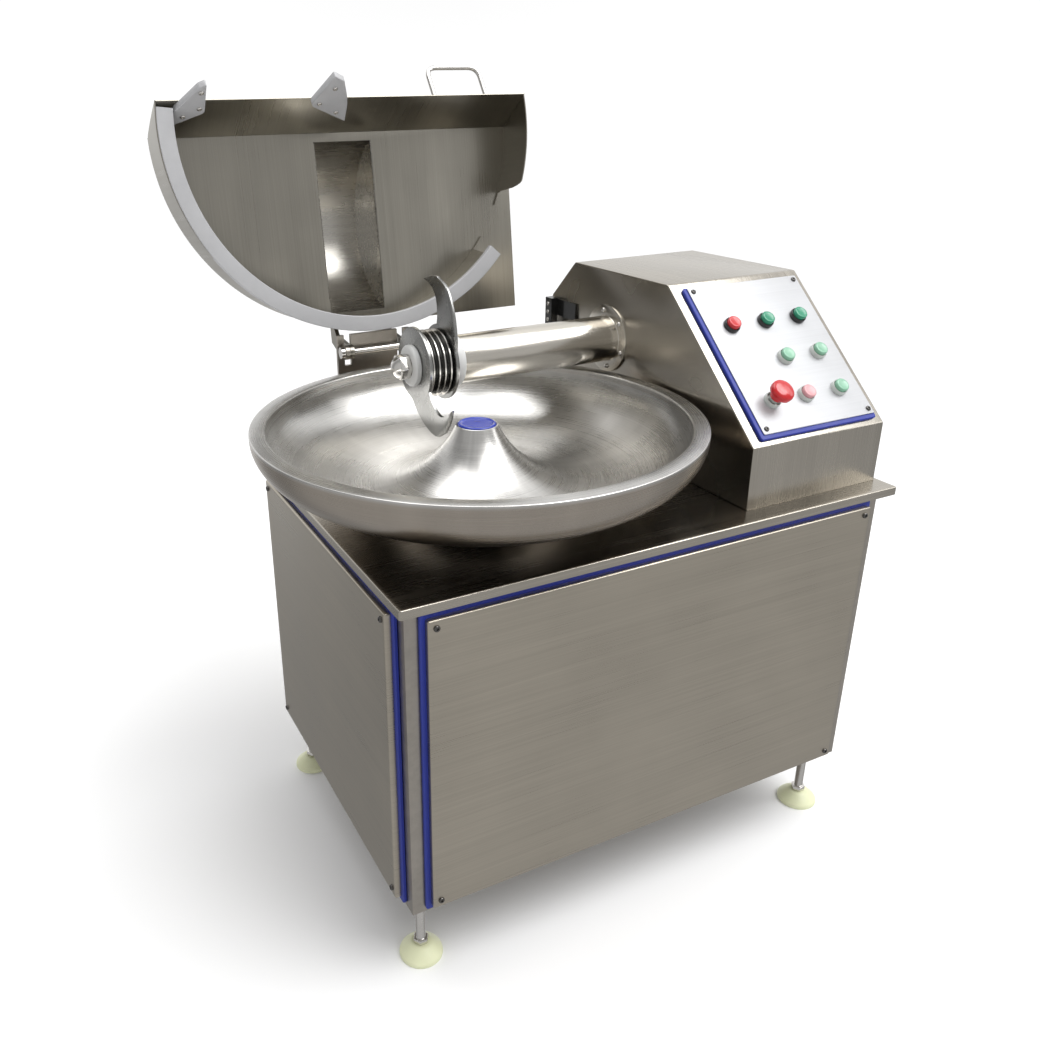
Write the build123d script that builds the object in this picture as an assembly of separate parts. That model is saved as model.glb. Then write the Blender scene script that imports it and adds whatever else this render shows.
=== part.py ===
"""Meat bowl cutter: a floor-standing cabinet with a turning annular bowl, sickle knives on a horizontal shaft,
a hinged half lid that closes over the knives, and a sloping control panel on the knife-head housing.

Millimetres, +Z up, front facing -Y. It is drawn with the knife shaft at Y = 0 and exported with the
origin on the floor under the middle of the machine's overall box. The lid is stored raised.
"""
import math
import os

from build123d import *

# ---------------------------------------------------------------- driving dimensions
CABINET_WIDTH = 890.0
CABINET_DEPTH = 622.0
CABINET_LEFT = -402.0
CABINET_FRONT = -435.0
PLATE_TOP = 680.0            # working height of the stainless top plate
FRAME_BOTTOM = 130.0
SHEET = 2.0                  # folded stainless sheet
PLATE_SHEET = 3.0
ANGLE_LEG = 40.0             # frame angle iron
ANGLE_THICK = 4.0

BOWL_X = -150.0
BOWL_Y = -175.0
BOWL_RADIUS = 364.0
RIM_Z = PLATE_TOP + 154.0
RIM_WIDTH = 26.0
CHANNEL_RADIUS = 153.0       # channel section, struck about the knife shaft
CAP_Z = RIM_Z - 12.0

SHAFT_Y = 0.0
SHAFT_Z = PLATE_TOP + 202.0
SHAFT_RADIUS = 20.0
KNIFE_RADIUS = 149.0
RUNNING_FIT = 0.05           # radial clearance of a shaft in its bearing
MIDDLE_Y = -41.5             # middle of the overall box, from bowl front to knife guard, as drawn

HOUSING_LEFT = 224.0
HOUSING_RIGHT = 512.0
HOUSING_FRONT = -405.0
HOUSING_REAR = 195.0
HOUSING_TOP = PLATE_TOP + 328.0
SLOPE_FOOT_Z = PLATE_TOP + 106.0
SLOPE_HEAD_Y = -165.0

HINGE_Y = 231.0
HINGE_Z = PLATE_TOP + 178.0
LID_OPEN_DEG = 98.0
LID_X = -161.0               # the lid is struck about a centre a little left of the bowl's
LID_WALL_RADIUS = 360.0
LID_EDGE_Z = RIM_Z + 2.0     # underside of the closed lid's seal
LID_PLATE_Z = PLATE_TOP + 249.5
LID_FRONT_Y = -227.0
LID_SLOPE_RUN = 49.0
LID_RIGHT = 203.0
LID_REAR = 187.0

# ---------------------------------------------------------------- worked out from them
CABINET_RIGHT = CABINET_LEFT + CABINET_WIDTH
CABINET_REAR = CABINET_FRONT + CABINET_DEPTH
FRAME_TOP = PLATE_TOP - PLATE_SHEET
CHANNEL_R = SHAFT_Y - BOWL_Y             # radius of the channel's lowest ring
CHANNEL_Z = SHAFT_Z - CHANNEL_RADIUS
CONE_TOP_R = CHANNEL_R - math.sqrt(CHANNEL_RADIUS**2 - (SHAFT_Z - CAP_Z) ** 2)
SLOPE_RUN = SLOPE_HEAD_Y - HOUSING_FRONT
SLOPE_RISE = HOUSING_TOP - SLOPE_FOOT_Z
SLOPE_LENGTH = math.hypot(SLOPE_RUN, SLOPE_RISE)
SLOPE_NORMAL = (0.0, -SLOPE_RISE / SLOPE_LENGTH, SLOPE_RUN / SLOPE_LENGTH)


# ---------------------------------------------------------------- helpers
def box(x0, x1, y0, y1, z0, z1):
    """Box between two corners."""
    return Pos((x0 + x1) / 2, (y0 + y1) / 2, (z0 + z1) / 2) * Box(x1 - x0, y1 - y0, z1 - z0)


def rod_x(x0, x1, y, z, radius):
    """Cylinder along X."""
    return Pos((x0 + x1) / 2, y, z) * Rot(0, 90, 0) * Cylinder(radius, x1 - x0)


def rod_z(x, y, z0, z1, radius):
    """Cylinder along Z."""
    return Pos(x, y, (z0 + z1) / 2) * Cylinder(radius, z1 - z0)


def turned(outline, plane=Plane.XZ, axis=Axis.Z):
    """Solid of revolution from a closed outline drawn in a plane that holds the axis."""
    return revolve(plane * make_face(outline), axis)


def turned_z(x, y, points):
    """Solid of revolution about a vertical axis at x, y, from (radius, z) points."""
    return Pos(x, y, 0) * turned(Polyline(*points, close=True))


def turned_x(points, y=SHAFT_Y, z=SHAFT_Z):
    """Solid of revolution about an axis along X, from (x, radius) points."""
    return Pos(0, y, z) * turned(Polyline(*points, close=True), Plane.XY, Axis.X)


def sheet_yz(outline, x0, x1):
    """Flat piece with its outline in the YZ plane, from x0 to x1."""
    return extrude(Plane.YZ.offset(x0) * make_face(outline), amount=x1 - x0)


def group(solids):
    """Separate solids that share one node."""
    return Compound([solid for shape in solids for solid in shape.solids()])


def ring_frame(x0, x1, z0, z1, width, y0, y1):
    """Rectangular ring in an XZ plane, y0 to y1 thick."""
    inner = box(x0 + width, x1 - width, y0 - 1, y1 + 1, z0 + width, z1 - width)
    return box(x0, x1, y0, y1, z0, z1) - inner


# ---------------------------------------------------------------- cabinet: frame, plates, panels, feet
PANEL_STAND_OFF = 16.5       # panel face in front of the frame
PANEL_MARGIN = 29.0          # frame edge to panel edge
PANEL_TOP = PLATE_TOP - 23.0
PANEL_BOTTOM = FRAME_BOTTOM + 15.0
GASKET_THICK = 6.5
GASKET_WIDTH = 16.0
GASKET_SHOW = 8.0            # how far the blue gasket reaches past its panel
SCREW_INSET = 13.0
PLATE_OVERHANG = 10.0
PLATE_OVERHANG_RIGHT = 35.0
PLATE_OVERHANG_REAR = 73.0
PLATE_LIP = 15.0
FOOT_INSET_X = 30.0
FOOT_INSET_Y = 40.0
FOOT_STEM_R = 8.0
BELT_SLOT = (340.0, 440.0, -84.0, 84.0)
SPINDLE_HOLE_R = 20.0


def foot_places():
    """The four foot positions in plan."""
    xs = (CABINET_LEFT + FOOT_INSET_X, CABINET_RIGHT - FOOT_INSET_X)
    ys = (CABINET_FRONT + FOOT_INSET_Y, CABINET_REAR - FOOT_INSET_Y)
    return [(x, y) for x in xs for y in ys]


def frame():
    """Welded angle-iron frame: a thin box with a window in every side, so each edge is an angle."""
    t = ANGLE_THICK
    leg = ANGLE_LEG
    x0, x1, y0, y1 = CABINET_LEFT, CABINET_RIGHT, CABINET_FRONT, CABINET_REAR
    z0, z1 = FRAME_BOTTOM, FRAME_TOP
    part = box(x0, x1, y0, y1, z0, z1) - box(x0 + t, x1 - t, y0 + t, y1 - t, z0 + t, z1 - t)
    part -= box(x0 - 1, x1 + 1, y0 + leg, y1 - leg, z0 + leg, z1 - leg)
    part -= box(x0 + leg, x1 - leg, y0 - 1, y1 + 1, z0 + leg, z1 - leg)
    part -= box(x0 + leg, x1 - leg, y0 + leg, y1 - leg, z0 - 1, z1 + 1)
    for x, y in foot_places():
        part -= rod_z(x, y, z0 - 1, z0 + t + 1, FOOT_STEM_R)
    return part


def bottom_plate():
    """Floor sheet that rests on the bottom rails and carries the motor, clear of the foot stems."""
    t = ANGLE_THICK
    z = FRAME_BOTTOM + t
    part = box(CABINET_LEFT + t, CABINET_RIGHT - t, CABINET_FRONT + t, CABINET_REAR - t, z, z + PLATE_SHEET)
    for x, y in foot_places():
        part -= rod_z(x, y, z - 1, z + PLATE_SHEET + 1, 2 * FOOT_STEM_R)
    return part


def top_plate():
    """Top sheet with its edges folded down; it overhangs the frame most at the right and rear."""
    x0 = CABINET_LEFT - PLATE_OVERHANG
    x1 = CABINET_RIGHT + PLATE_OVERHANG_RIGHT
    y0 = CABINET_FRONT - PLATE_OVERHANG
    y1 = CABINET_REAR + PLATE_OVERHANG_REAR
    part = box(x0, x1, y0, y1, PLATE_TOP - PLATE_LIP, PLATE_TOP)
    part -= box(x0 + SHEET, x1 - SHEET, y0 + SHEET, y1 - SHEET, PLATE_TOP - PLATE_LIP - 1, FRAME_TOP)
    part -= rod_z(BOWL_X, BOWL_Y, FRAME_TOP - 1, PLATE_TOP + 1, SPINDLE_HOLE_R)
    sx0, sx1, sy0, sy1 = BELT_SLOT
    return part - box(sx0, sx1, sy0, sy1, FRAME_TOP - 1, PLATE_TOP + 1)


def panel_sides():
    """Each side's placing and panel width: a panel is drawn as the front one and turned into place."""
    middle_x = (CABINET_LEFT + CABINET_RIGHT) / 2
    middle_y = (CABINET_FRONT + CABINET_REAR) / 2
    wide = CABINET_WIDTH - 2 * PANEL_MARGIN
    deep = CABINET_DEPTH - 2 * PANEL_MARGIN
    return {
        "front": (Pos(middle_x, CABINET_FRONT, 0), wide),
        "left": (Pos(CABINET_LEFT, middle_y, 0) * Rot(0, 0, -90), deep),
        "right": (Pos(CABINET_RIGHT, middle_y, 0) * Rot(0, 0, 90), deep),
        "rear": (Pos(middle_x, CABINET_REAR, 0) * Rot(0, 0, 180), wide),
    }


def screw_places(width):
    """Corner screw positions on a panel, as x and z."""
    xs = (-width / 2 + SCREW_INSET, width / 2 - SCREW_INSET)
    zs = (PANEL_BOTTOM + SCREW_INSET, PANEL_TOP - SCREW_INSET)
    return [(x, z) for x in xs for z in zs]


def panel(width):
    """Removable tray: a flat face with all four edges folded back onto the gasket."""
    face = -PANEL_STAND_OFF
    part = box(-width / 2, width / 2, face, -GASKET_THICK, PANEL_BOTTOM, PANEL_TOP)
    part -= box(
        -width / 2 + SHEET, width / 2 - SHEET,
        face + SHEET, 0.0,
        PANEL_BOTTOM + SHEET, PANEL_TOP - SHEET,
    )
    for x, z in screw_places(width):
        part -= Pos(x, face, z) * Rot(90, 0, 0) * Cylinder(3.0, 8 * SHEET)
    return part


def gasket(width):
    """Flat rubber ring between a panel's folded edge and the frame, showing all round the panel."""
    show = GASKET_SHOW
    return ring_frame(
        -width / 2 - show, width / 2 + show, PANEL_BOTTOM - show, PANEL_TOP + show,
        GASKET_WIDTH, -GASKET_THICK, 0.0,
    )


def panel_screws():
    """Sixteen dome-head screws, one in each panel corner, reaching back to the frame."""
    screws = []
    for place, width in panel_sides().values():
        for x, z in screw_places(width):
            head = Pos(x, -PANEL_STAND_OFF - 1.5, z) * Rot(90, 0, 0) * Cylinder(5.0, 3.0)
            shank = Pos(x, -PANEL_STAND_OFF / 2, z) * Rot(90, 0, 0) * Cylinder(3.0, PANEL_STAND_OFF)
            screws.append(place * (head + shank))
    return group(screws)


def foot_stems():
    """Threaded stems with their hex lock nuts tight under the bottom rails."""
    feet = []
    for x, y in foot_places():
        stem = rod_z(x, y, 10.0, FRAME_BOTTOM + 25.0, FOOT_STEM_R)
        nut = Pos(x, y, FRAME_BOTTOM - 12.0) * extrude(RegularPolygon(14.0, 6), amount=12.0)
        collar = Pos(x, y, 24.0) * extrude(RegularPolygon(13.0, 6), amount=10.0)
        feet.append(stem + nut + collar)
    return group(feet)


def foot_pads():
    """Moulded plastic pads, domed up to the stem's socket."""
    outline = Polyline((0, 10), (8.05, 10), (8.05, 24), (17, 24), (30, 12), (35.5, 6), (35.5, 0), (0, 0), close=True)
    pad = turned(outline)
    return group([Pos(x, y, 0) * pad for x, y in foot_places()])


# ---------------------------------------------------------------- bowl and its drive
def bowl():
    """Annular bowl, turned: knife-struck channel, central cone, flat lip and a full outer wall."""
    mid = CHANNEL_R
    cone_top = (CONE_TOP_R, CAP_Z)
    low = (mid, CHANNEL_Z)
    lean = math.asin((mid - CONE_TOP_R) / CHANNEL_RADIUS) / 2
    cone_mid = (mid - CHANNEL_RADIUS * math.sin(lean), SHAFT_Z - CHANNEL_RADIUS * math.cos(lean))
    lip_in = BOWL_RADIUS - RIM_WIDTH
    inner_wall = EllipticalCenterArc((mid, RIM_Z - 2), lip_in - mid, RIM_Z - 2 - CHANNEL_Z, 270, arc_size=90)
    underside_z = CHANNEL_Z - 9
    outer_wall = EllipticalCenterArc((mid, RIM_Z - 8), BOWL_RADIUS - mid, RIM_Z - 8 - underside_z, 270, arc_size=90)
    under_radius = SHAFT_Z - underside_z
    under_top_z = CAP_Z - 18
    under_top = (mid - math.sqrt(under_radius**2 - (SHAFT_Z - under_top_z) ** 2), under_top_z)
    under_lean = math.asin((mid - under_top[0]) / under_radius) / 2
    under_mid = (mid - under_radius * math.sin(under_lean), SHAFT_Z - under_radius * math.cos(under_lean))
    outline = [
        ThreePointArc(cone_top, cone_mid, low),
        inner_wall,
        Line((lip_in, RIM_Z - 2), (lip_in + 3, RIM_Z)),
        Line((lip_in + 3, RIM_Z), (BOWL_RADIUS - 2, RIM_Z)),
        Line((BOWL_RADIUS - 2, RIM_Z), (BOWL_RADIUS, RIM_Z - 2)),
        Line((BOWL_RADIUS, RIM_Z - 2), (BOWL_RADIUS, RIM_Z - 8)),
        outer_wall,
        ThreePointArc((mid, underside_z), under_mid, under_top),
        Line(under_top, (0, under_top_z)),
        Line((0, under_top_z), (0, CAP_Z - 7)),
        Line((0, CAP_Z - 7), (CONE_TOP_R - 2.5, CAP_Z - 7)),
        Line((CONE_TOP_R - 2.5, CAP_Z - 7), (CONE_TOP_R - 2.5, CAP_Z)),
        Line((CONE_TOP_R - 2.5, CAP_Z), cone_top),
    ]
    return Pos(BOWL_X, BOWL_Y, 0) * turned(outline)


def bowl_cap():
    """Plastic cap pressed into the top of the cone, over the fixing bolt."""
    r = CONE_TOP_R - 2.5
    points = ((0, CAP_Z - 7), (r, CAP_Z - 7), (r, CAP_Z), (r - 2, CAP_Z + 1.5), (0, CAP_Z + 2.5))
    return turned_z(BOWL_X, BOWL_Y, points)


SPINDLE_R = 17.5
BEARING_R = 31.0
SPINDLE_TOP = CAP_Z - 18
GEARBOX_BOTTOM = 560.0


def bowl_spindle():
    """Vertical spindle from the gearbox up to the flange that carries the bowl."""
    points = ((0, 590), (SPINDLE_R, 590), (SPINDLE_R, SPINDLE_TOP - 10), (26, SPINDLE_TOP - 10),
              (26, SPINDLE_TOP), (0, SPINDLE_TOP))
    return turned_z(BOWL_X, BOWL_Y, points)


def bowl_bearing_housing():
    """Flanged tower on the top plate, hidden inside the bowl's cone."""
    top = 768.0
    points = ((BEARING_R, PLATE_TOP), (68, PLATE_TOP), (68, PLATE_TOP + 10), (44, PLATE_TOP + 18),
              (41, top), (BEARING_R, top))
    return turned_z(BOWL_X, BOWL_Y, points)


def bowl_bearings():
    """Two ball bearings in the tower, as plain rings."""
    rings = []
    for z in (PLATE_TOP + 4, 748.0):
        outer = rod_z(BOWL_X, BOWL_Y, z, z + 17, BEARING_R)
        rings.append(outer - rod_z(BOWL_X, BOWL_Y, z - 1, z + 18, SPINDLE_R + RUNNING_FIT))
    return group(rings)


def bowl_gearbox():
    """Worm gearbox bolted under the top plate, with the spindle through its hollow output."""
    body = box(BOWL_X - 62, BOWL_X + 62, BOWL_Y - 70, BOWL_Y + 62, GEARBOX_BOTTOM + 12, FRAME_TOP - 12)
    flange = rod_z(BOWL_X, BOWL_Y, FRAME_TOP - 12, FRAME_TOP, 80)
    boss = rod_z(BOWL_X, BOWL_Y, GEARBOX_BOTTOM, GEARBOX_BOTTOM + 12, 45)
    return body + flange + boss - rod_z(BOWL_X, BOWL_Y, 588, PLATE_TOP, SPINDLE_R + RUNNING_FIT)


def bowl_motor():
    """Small flange motor on the side of the worm gearbox."""
    face = BOWL_Y + 62
    z = GEARBOX_BOTTOM + 48
    points = ((0, 0), (55, 0), (55, 10), (47, 10), (50, 24), (50, 150), (44, 158), (44, 190), (0, 190))
    return Pos(BOWL_X, face, z) * Rot(-90, 0, 0) * turned(Polyline(*points, close=True))


# ---------------------------------------------------------------- knife head
TUBE_R = 42.5
TUBE_BORE_R = 34.0
TUBE_END = -100.0
TUBE_INNER_END = 300.0
FLANGE_R = 63.0
FLANGE_THICK = 4.0
COLLAR_START = -120.0
COLLAR_R = 46.0
BLADE_THICK = 6.0
EYE_R = 66.0
SPACER_R = 59.0
LOWER_BLADE_TURN = 132.0
WASHER_START = -192.0
NOSE_END = -216.0
NOSE_R = 11.0
NUT_DEEP = 20.0
LOWER_BLADE_START = -180.0
UPPER_BLADE_START = -130.0
SPACERS = 4
PULLEY_START = 362.0
PULLEY_WIDTH = 56.0
SHAFT_PULLEY_R = 60.0
MOTOR_PULLEY_R = 75.0
MOTOR_Z = 330.0
GROOVES = 3
GROOVE_WIDTH = 10.0
GROOVE_DEPTH = 10.0
BELT_GAP = 0.4


def shaft_tube():
    """Bearing tube cantilevered from the housing, with its bolting flange and inner pedestal."""
    tube = rod_x(TUBE_END, TUBE_INNER_END, SHAFT_Y, SHAFT_Z, TUBE_R)
    flange = rod_x(HOUSING_LEFT - FLANGE_THICK, HOUSING_LEFT, SHAFT_Y, SHAFT_Z, FLANGE_R)
    pedestal = box(262, 292, -46, 46, PLATE_TOP, SHAFT_Z)
    foot = box(250, 304, -70, 70, PLATE_TOP, PLATE_TOP + 12)
    bore = rod_x(TUBE_END - 1, TUBE_INNER_END + 1, SHAFT_Y, SHAFT_Z, TUBE_BORE_R)
    return tube + flange + pedestal + foot - bore


def tube_collar():
    """Nylon seal collar on the open end of the bearing tube."""
    bore = SHAFT_RADIUS + 0.5
    points = ((COLLAR_START, bore), (COLLAR_START, COLLAR_R - 2.5), (COLLAR_START + 3, COLLAR_R),
              (TUBE_END, COLLAR_R), (TUBE_END, bore))
    return turned_x(points)


def shaft_bearings():
    """Bearings at both ends of the tube, as plain rings."""
    rings = []
    for x in (TUBE_END + 2, TUBE_INNER_END - 28):
        ring = rod_x(x, x + 24, SHAFT_Y, SHAFT_Z, TUBE_BORE_R)
        rings.append(ring - rod_x(x - 1, x + 25, SHAFT_Y, SHAFT_Z, SHAFT_RADIUS + RUNNING_FIT))
    return group(rings)


def knife_shaft():
    """Knife shaft: threaded nose, seat for the knife stack, shoulder, and the long bearing length."""
    end = PULLEY_START + PULLEY_WIDTH + 8
    points = (
        (NOSE_END, 0), (NOSE_END, NOSE_R), (WASHER_START, NOSE_R), (WASHER_START, SHAFT_RADIUS),
        (UPPER_BLADE_START + BLADE_THICK, SHAFT_RADIUS), (UPPER_BLADE_START + BLADE_THICK, 32),
        (COLLAR_START - 1, 32), (COLLAR_START - 1, SHAFT_RADIUS), (end, SHAFT_RADIUS), (end, 0),
    )
    return turned_x(points)


def polar(angle, radius):
    """Point in the blade's plane from its angle above +Y and its distance from the shaft."""
    return (radius * math.cos(math.radians(angle)), radius * math.sin(math.radians(angle)))


def blade(x, turn):
    """Sickle knife: a round eye and one curved arm whose convex cutting edge winds out to the tip."""
    cutting_edge = Spline(
        polar(152, EYE_R - 4), polar(136, 81), polar(117, 107), polar(101, 134), polar(86, KNIFE_RADIUS - 2)
    )
    back = ThreePointArc(polar(86, KNIFE_RADIUS - 2), polar(75, KNIFE_RADIUS), polar(65, KNIFE_RADIUS))
    hook = Spline(
        polar(65, KNIFE_RADIUS), polar(72, 138), polar(80, 122), polar(84, 104), polar(84, 82), polar(80, EYE_R - 4)
    )
    root = Line(polar(80, EYE_R - 4), polar(152, EYE_R - 4))
    arm = sheet_yz([cutting_edge, back, hook, root], 0, BLADE_THICK)
    eye = Pos(BLADE_THICK / 2, 0, 0) * Rot(0, 90, 0) * Cylinder(EYE_R, BLADE_THICK)
    hole = Pos(BLADE_THICK / 2, 0, 0) * Rot(0, 90, 0) * Cylinder(SHAFT_RADIUS, 2 * BLADE_THICK)
    return Pos(x, SHAFT_Y, SHAFT_Z) * Rot(turn, 0, 0) * (arm + eye - hole)


def knife_spacers():
    """Four relieved spacer discs that hold the two knives apart."""
    start = LOWER_BLADE_START + BLADE_THICK
    pitch = (UPPER_BLADE_START - start) / SPACERS
    discs = []
    for number in range(SPACERS):
        x = start + number * pitch
        points = ((x, SHAFT_RADIUS), (x, SPACER_R - 3), (x + 3, SPACER_R), (x + pitch - 3, SPACER_R),
                  (x + pitch, SPACER_R - 3), (x + pitch, SHAFT_RADIUS))
        discs.append(turned_x(points))
    return group(discs)


def knife_washer():
    """Thick nylon washer between the nut and the knives."""
    end = LOWER_BLADE_START
    points = ((WASHER_START, SHAFT_RADIUS), (WASHER_START, 33), (WASHER_START + 3, 36), (end, 36), (end, SHAFT_RADIUS))
    return turned_x(points)


def knife_nut():
    """Domed hexagon nut on the shaft's nose."""
    base = WASHER_START - NUT_DEEP
    hexagon = Pos(base, SHAFT_Y, SHAFT_Z) * Rot(0, 90, 0) * extrude(RegularPolygon(23.0, 6), amount=NUT_DEEP)
    dome = turned_x(((base - 10, 0), (base - 9, 8), (base - 5, 15), (base, 19), (base, 0)))
    return hexagon + dome - rod_x(NOSE_END, WASHER_START + 1, SHAFT_Y, SHAFT_Z, NOSE_R)


def pulley_points(start, radius, bore):
    """Half section of a grooved pulley."""
    points = [(start, bore), (start, radius)]
    pitch = PULLEY_WIDTH / GROOVES
    for number in range(GROOVES):
        x = start + (number + 0.5) * pitch - GROOVE_WIDTH / 2
        points += [(x, radius), (x, radius - GROOVE_DEPTH)]
        points += [(x + GROOVE_WIDTH, radius - GROOVE_DEPTH), (x + GROOVE_WIDTH, radius)]
    return points + [(start + PULLEY_WIDTH, radius), (start + PULLEY_WIDTH, bore)]


def shaft_pulley():
    """Grooved pulley keyed on the rear end of the knife shaft."""
    return turned_x(pulley_points(PULLEY_START, SHAFT_PULLEY_R, SHAFT_RADIUS))


def motor_pulley():
    """Grooved pulley with the motor's shaft, which turns in the motor's bore."""
    pulley = turned_x(pulley_points(PULLEY_START, MOTOR_PULLEY_R, 14.0), z=MOTOR_Z)
    return pulley + rod_x(300, PULLEY_START + PULLEY_WIDTH, SHAFT_Y, MOTOR_Z, 14.0)


def knife_motor():
    """Foot-mounted motor on the cabinet floor, below the head."""
    points = (
        (60, 0), (60, 70), (66, 84), (100, 84), (104, 98), (290, 98), (294, 88),
        (318, 88), (318, 40), (338, 36), (338, 14.0 + RUNNING_FIT), (290, 14.0 + RUNNING_FIT), (290, 0),
    )
    body = turned_x(points, z=MOTOR_Z)
    floor = FRAME_BOTTOM + ANGLE_THICK + PLATE_SHEET
    foot = box(120, 280, -90, 90, floor, floor + 14)
    legs = box(130, 270, -70, 70, floor, MOTOR_Z - 60)
    terminal_box = box(140, 230, -50, 50, MOTOR_Z + 90, MOTOR_Z + 135)
    return body + foot + legs + terminal_box


def drive_belts():
    """Three belts from the motor pulley up through the plate's slot to the shaft pulley."""
    belts = []
    pitch = PULLEY_WIDTH / GROOVES
    half = GROOVE_WIDTH / 2 - BELT_GAP
    depth = GROOVE_DEPTH - BELT_GAP
    for number in range(GROOVES):
        x = PULLEY_START + (number + 0.5) * pitch
        plane = Plane.YZ.offset(x - half)
        loops = []
        for inset in (0.0, depth):
            top = Pos(SHAFT_Y, SHAFT_Z) * CenterArc((0, 0), SHAFT_PULLEY_R - inset, 0, 360)
            low = Pos(SHAFT_Y, MOTOR_Z) * CenterArc((0, 0), MOTOR_PULLEY_R - inset, 0, 360)
            loops.append(extrude(plane * make_hull([top.edge(), low.edge()]), amount=2 * half))
        belts.append(loops[0] - loops[1])
    return group(belts)


# ---------------------------------------------------------------- head housing and control panel
CONTROL_LEFT = 251.0
CONTROL_RIGHT = 495.0
CONTROL_FOOT = 18.0          # along the slope from its foot
CONTROL_HEAD = 310.0
CONTROL_GASKET = 6.0
CONTROL_SHEET = 2.0
BUTTON_COLUMNS = (299.0, 373.0, 447.0)
BUTTON_ROWS = (224.0, 149.0, 74.0)
BUTTON_HOLE_R = 11.2
CONTROL_FACE = CONTROL_GASKET + CONTROL_SHEET
WELL_FLOOR = CONTROL_FACE + 1.0   # floor of each bezel's well
CAP_LOW = WELL_FLOOR + 4.5        # a cap stands clear of the well's floor by more than its travel
STEM_END = -16.0
CONTROL_PLANE = Plane(
    origin=(0.0, HOUSING_FRONT, SLOPE_FOOT_Z), x_dir=(1, 0, 0), z_dir=SLOPE_NORMAL
)
BUTTONS = {
    "stop_button_red": (0, 0),
    "start_button_green": (1, 0),
    "run_button_green": (2, 0),
    "jog_button_pale": (1, 1),
    "bowl_button_pale": (2, 1),
    "reset_button_pink": (1, 2),
    "speed_button_pale": (2, 2),
}
ESTOP = (0, 2)
DARK_BEZELS = ("stop_button_red", "start_button_green", "run_button_green")


def on_control(column, row, height=0.0):
    """Place at a button position, out along the slope's normal."""
    return CONTROL_PLANE * Pos(BUTTON_COLUMNS[column], BUTTON_ROWS[row], height)


def head_housing():
    """Folded shell over the shaft's drive: sloping front, chamfered rear, open to the plate below."""
    profile = Polyline(
        (HOUSING_FRONT, PLATE_TOP), (HOUSING_FRONT, SLOPE_FOOT_Z), (SLOPE_HEAD_Y, HOUSING_TOP),
        (117, HOUSING_TOP), (HOUSING_REAR, PLATE_TOP + 252), (HOUSING_REAR, PLATE_TOP), close=True,
    )
    face = make_face(profile)
    inner = offset(face, amount=-SHEET, kind=Kind.INTERSECTION)
    part = extrude(Plane.YZ.offset(HOUSING_LEFT) * face, amount=HOUSING_RIGHT - HOUSING_LEFT)
    part -= extrude(Plane.YZ.offset(HOUSING_LEFT + SHEET) * inner, amount=HOUSING_RIGHT - HOUSING_LEFT - 2 * SHEET)
    edge = 12.0
    part -= box(
        HOUSING_LEFT + edge, HOUSING_RIGHT - edge, HOUSING_FRONT + edge, HOUSING_REAR - edge,
        PLATE_TOP - 1, PLATE_TOP + 4 * SHEET,
    )
    part -= rod_x(HOUSING_LEFT - 1, HOUSING_LEFT + 2 * SHEET, SHAFT_Y, SHAFT_Z, TUBE_R)
    for column, row in list(BUTTONS.values()) + [ESTOP]:
        part -= on_control(column, row) * Cylinder(BUTTON_HOLE_R, 8 * SHEET)
    return part


def control_gasket():
    """Blue rubber ring under the control plate, showing at its edges."""
    show = 8.0
    width = CONTROL_RIGHT - CONTROL_LEFT + 2 * show
    height = CONTROL_HEAD - CONTROL_FOOT + 2 * show
    middle = Pos((CONTROL_LEFT + CONTROL_RIGHT) / 2, (CONTROL_FOOT + CONTROL_HEAD) / 2, CONTROL_GASKET / 2)
    ring = Box(width, height, CONTROL_GASKET) - Box(width - 36, height - 36, 2 * CONTROL_GASKET)
    return CONTROL_PLANE * middle * ring


def control_plate():
    """Flat control plate with a hole for each push button."""
    width = CONTROL_RIGHT - CONTROL_LEFT
    height = CONTROL_HEAD - CONTROL_FOOT
    middle = Pos(
        (CONTROL_LEFT + CONTROL_RIGHT) / 2, (CONTROL_FOOT + CONTROL_HEAD) / 2, CONTROL_GASKET + CONTROL_SHEET / 2
    )
    part = CONTROL_PLANE * middle * Box(width, height, CONTROL_SHEET)
    for column, row in list(BUTTONS.values()) + [ESTOP]:
        part -= on_control(column, row) * Cylinder(BUTTON_HOLE_R, 40)
    return part


def bezel():
    """Button bezel: a collar on the plate, a well for the cap and a neck through to the back."""
    face = CONTROL_FACE
    points = ((6.2, -14), (BUTTON_HOLE_R, -14), (BUTTON_HOLE_R, face), (14.5, face), (14.5, face + 6),
              (13.5, face + 8), (12.4, face + 8), (12.4, WELL_FLOOR), (6.2, WELL_FLOOR))
    return turned(Polyline(*points, close=True))


def button_bezels(names):
    """The bezels of the named buttons."""
    collar = bezel()
    return group([on_control(*BUTTONS[name]) * collar for name in names])


def button(column, row):
    """Push cap with its guide stem; the cap stands clear of the well's floor by its travel."""
    points = ((0, STEM_END), (5.8, STEM_END), (5.8, CAP_LOW), (12.0, CAP_LOW), (12.0, CAP_LOW + 7),
              (10.5, CAP_LOW + 9), (0, CAP_LOW + 9))
    return on_control(column, row) * turned(Polyline(*points, close=True))


def estop_stem():
    """Sliding stem of the emergency stop, with the pin that its head turns on."""
    low = WELL_FLOOR + 5.5
    points = ((0, STEM_END), (5.8, STEM_END), (5.8, low), (9, low), (9, low + 6), (4, low + 6), (4, low + 19), (0, low + 19))
    return on_control(*ESTOP) * turned(Polyline(*points, close=True))


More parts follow.
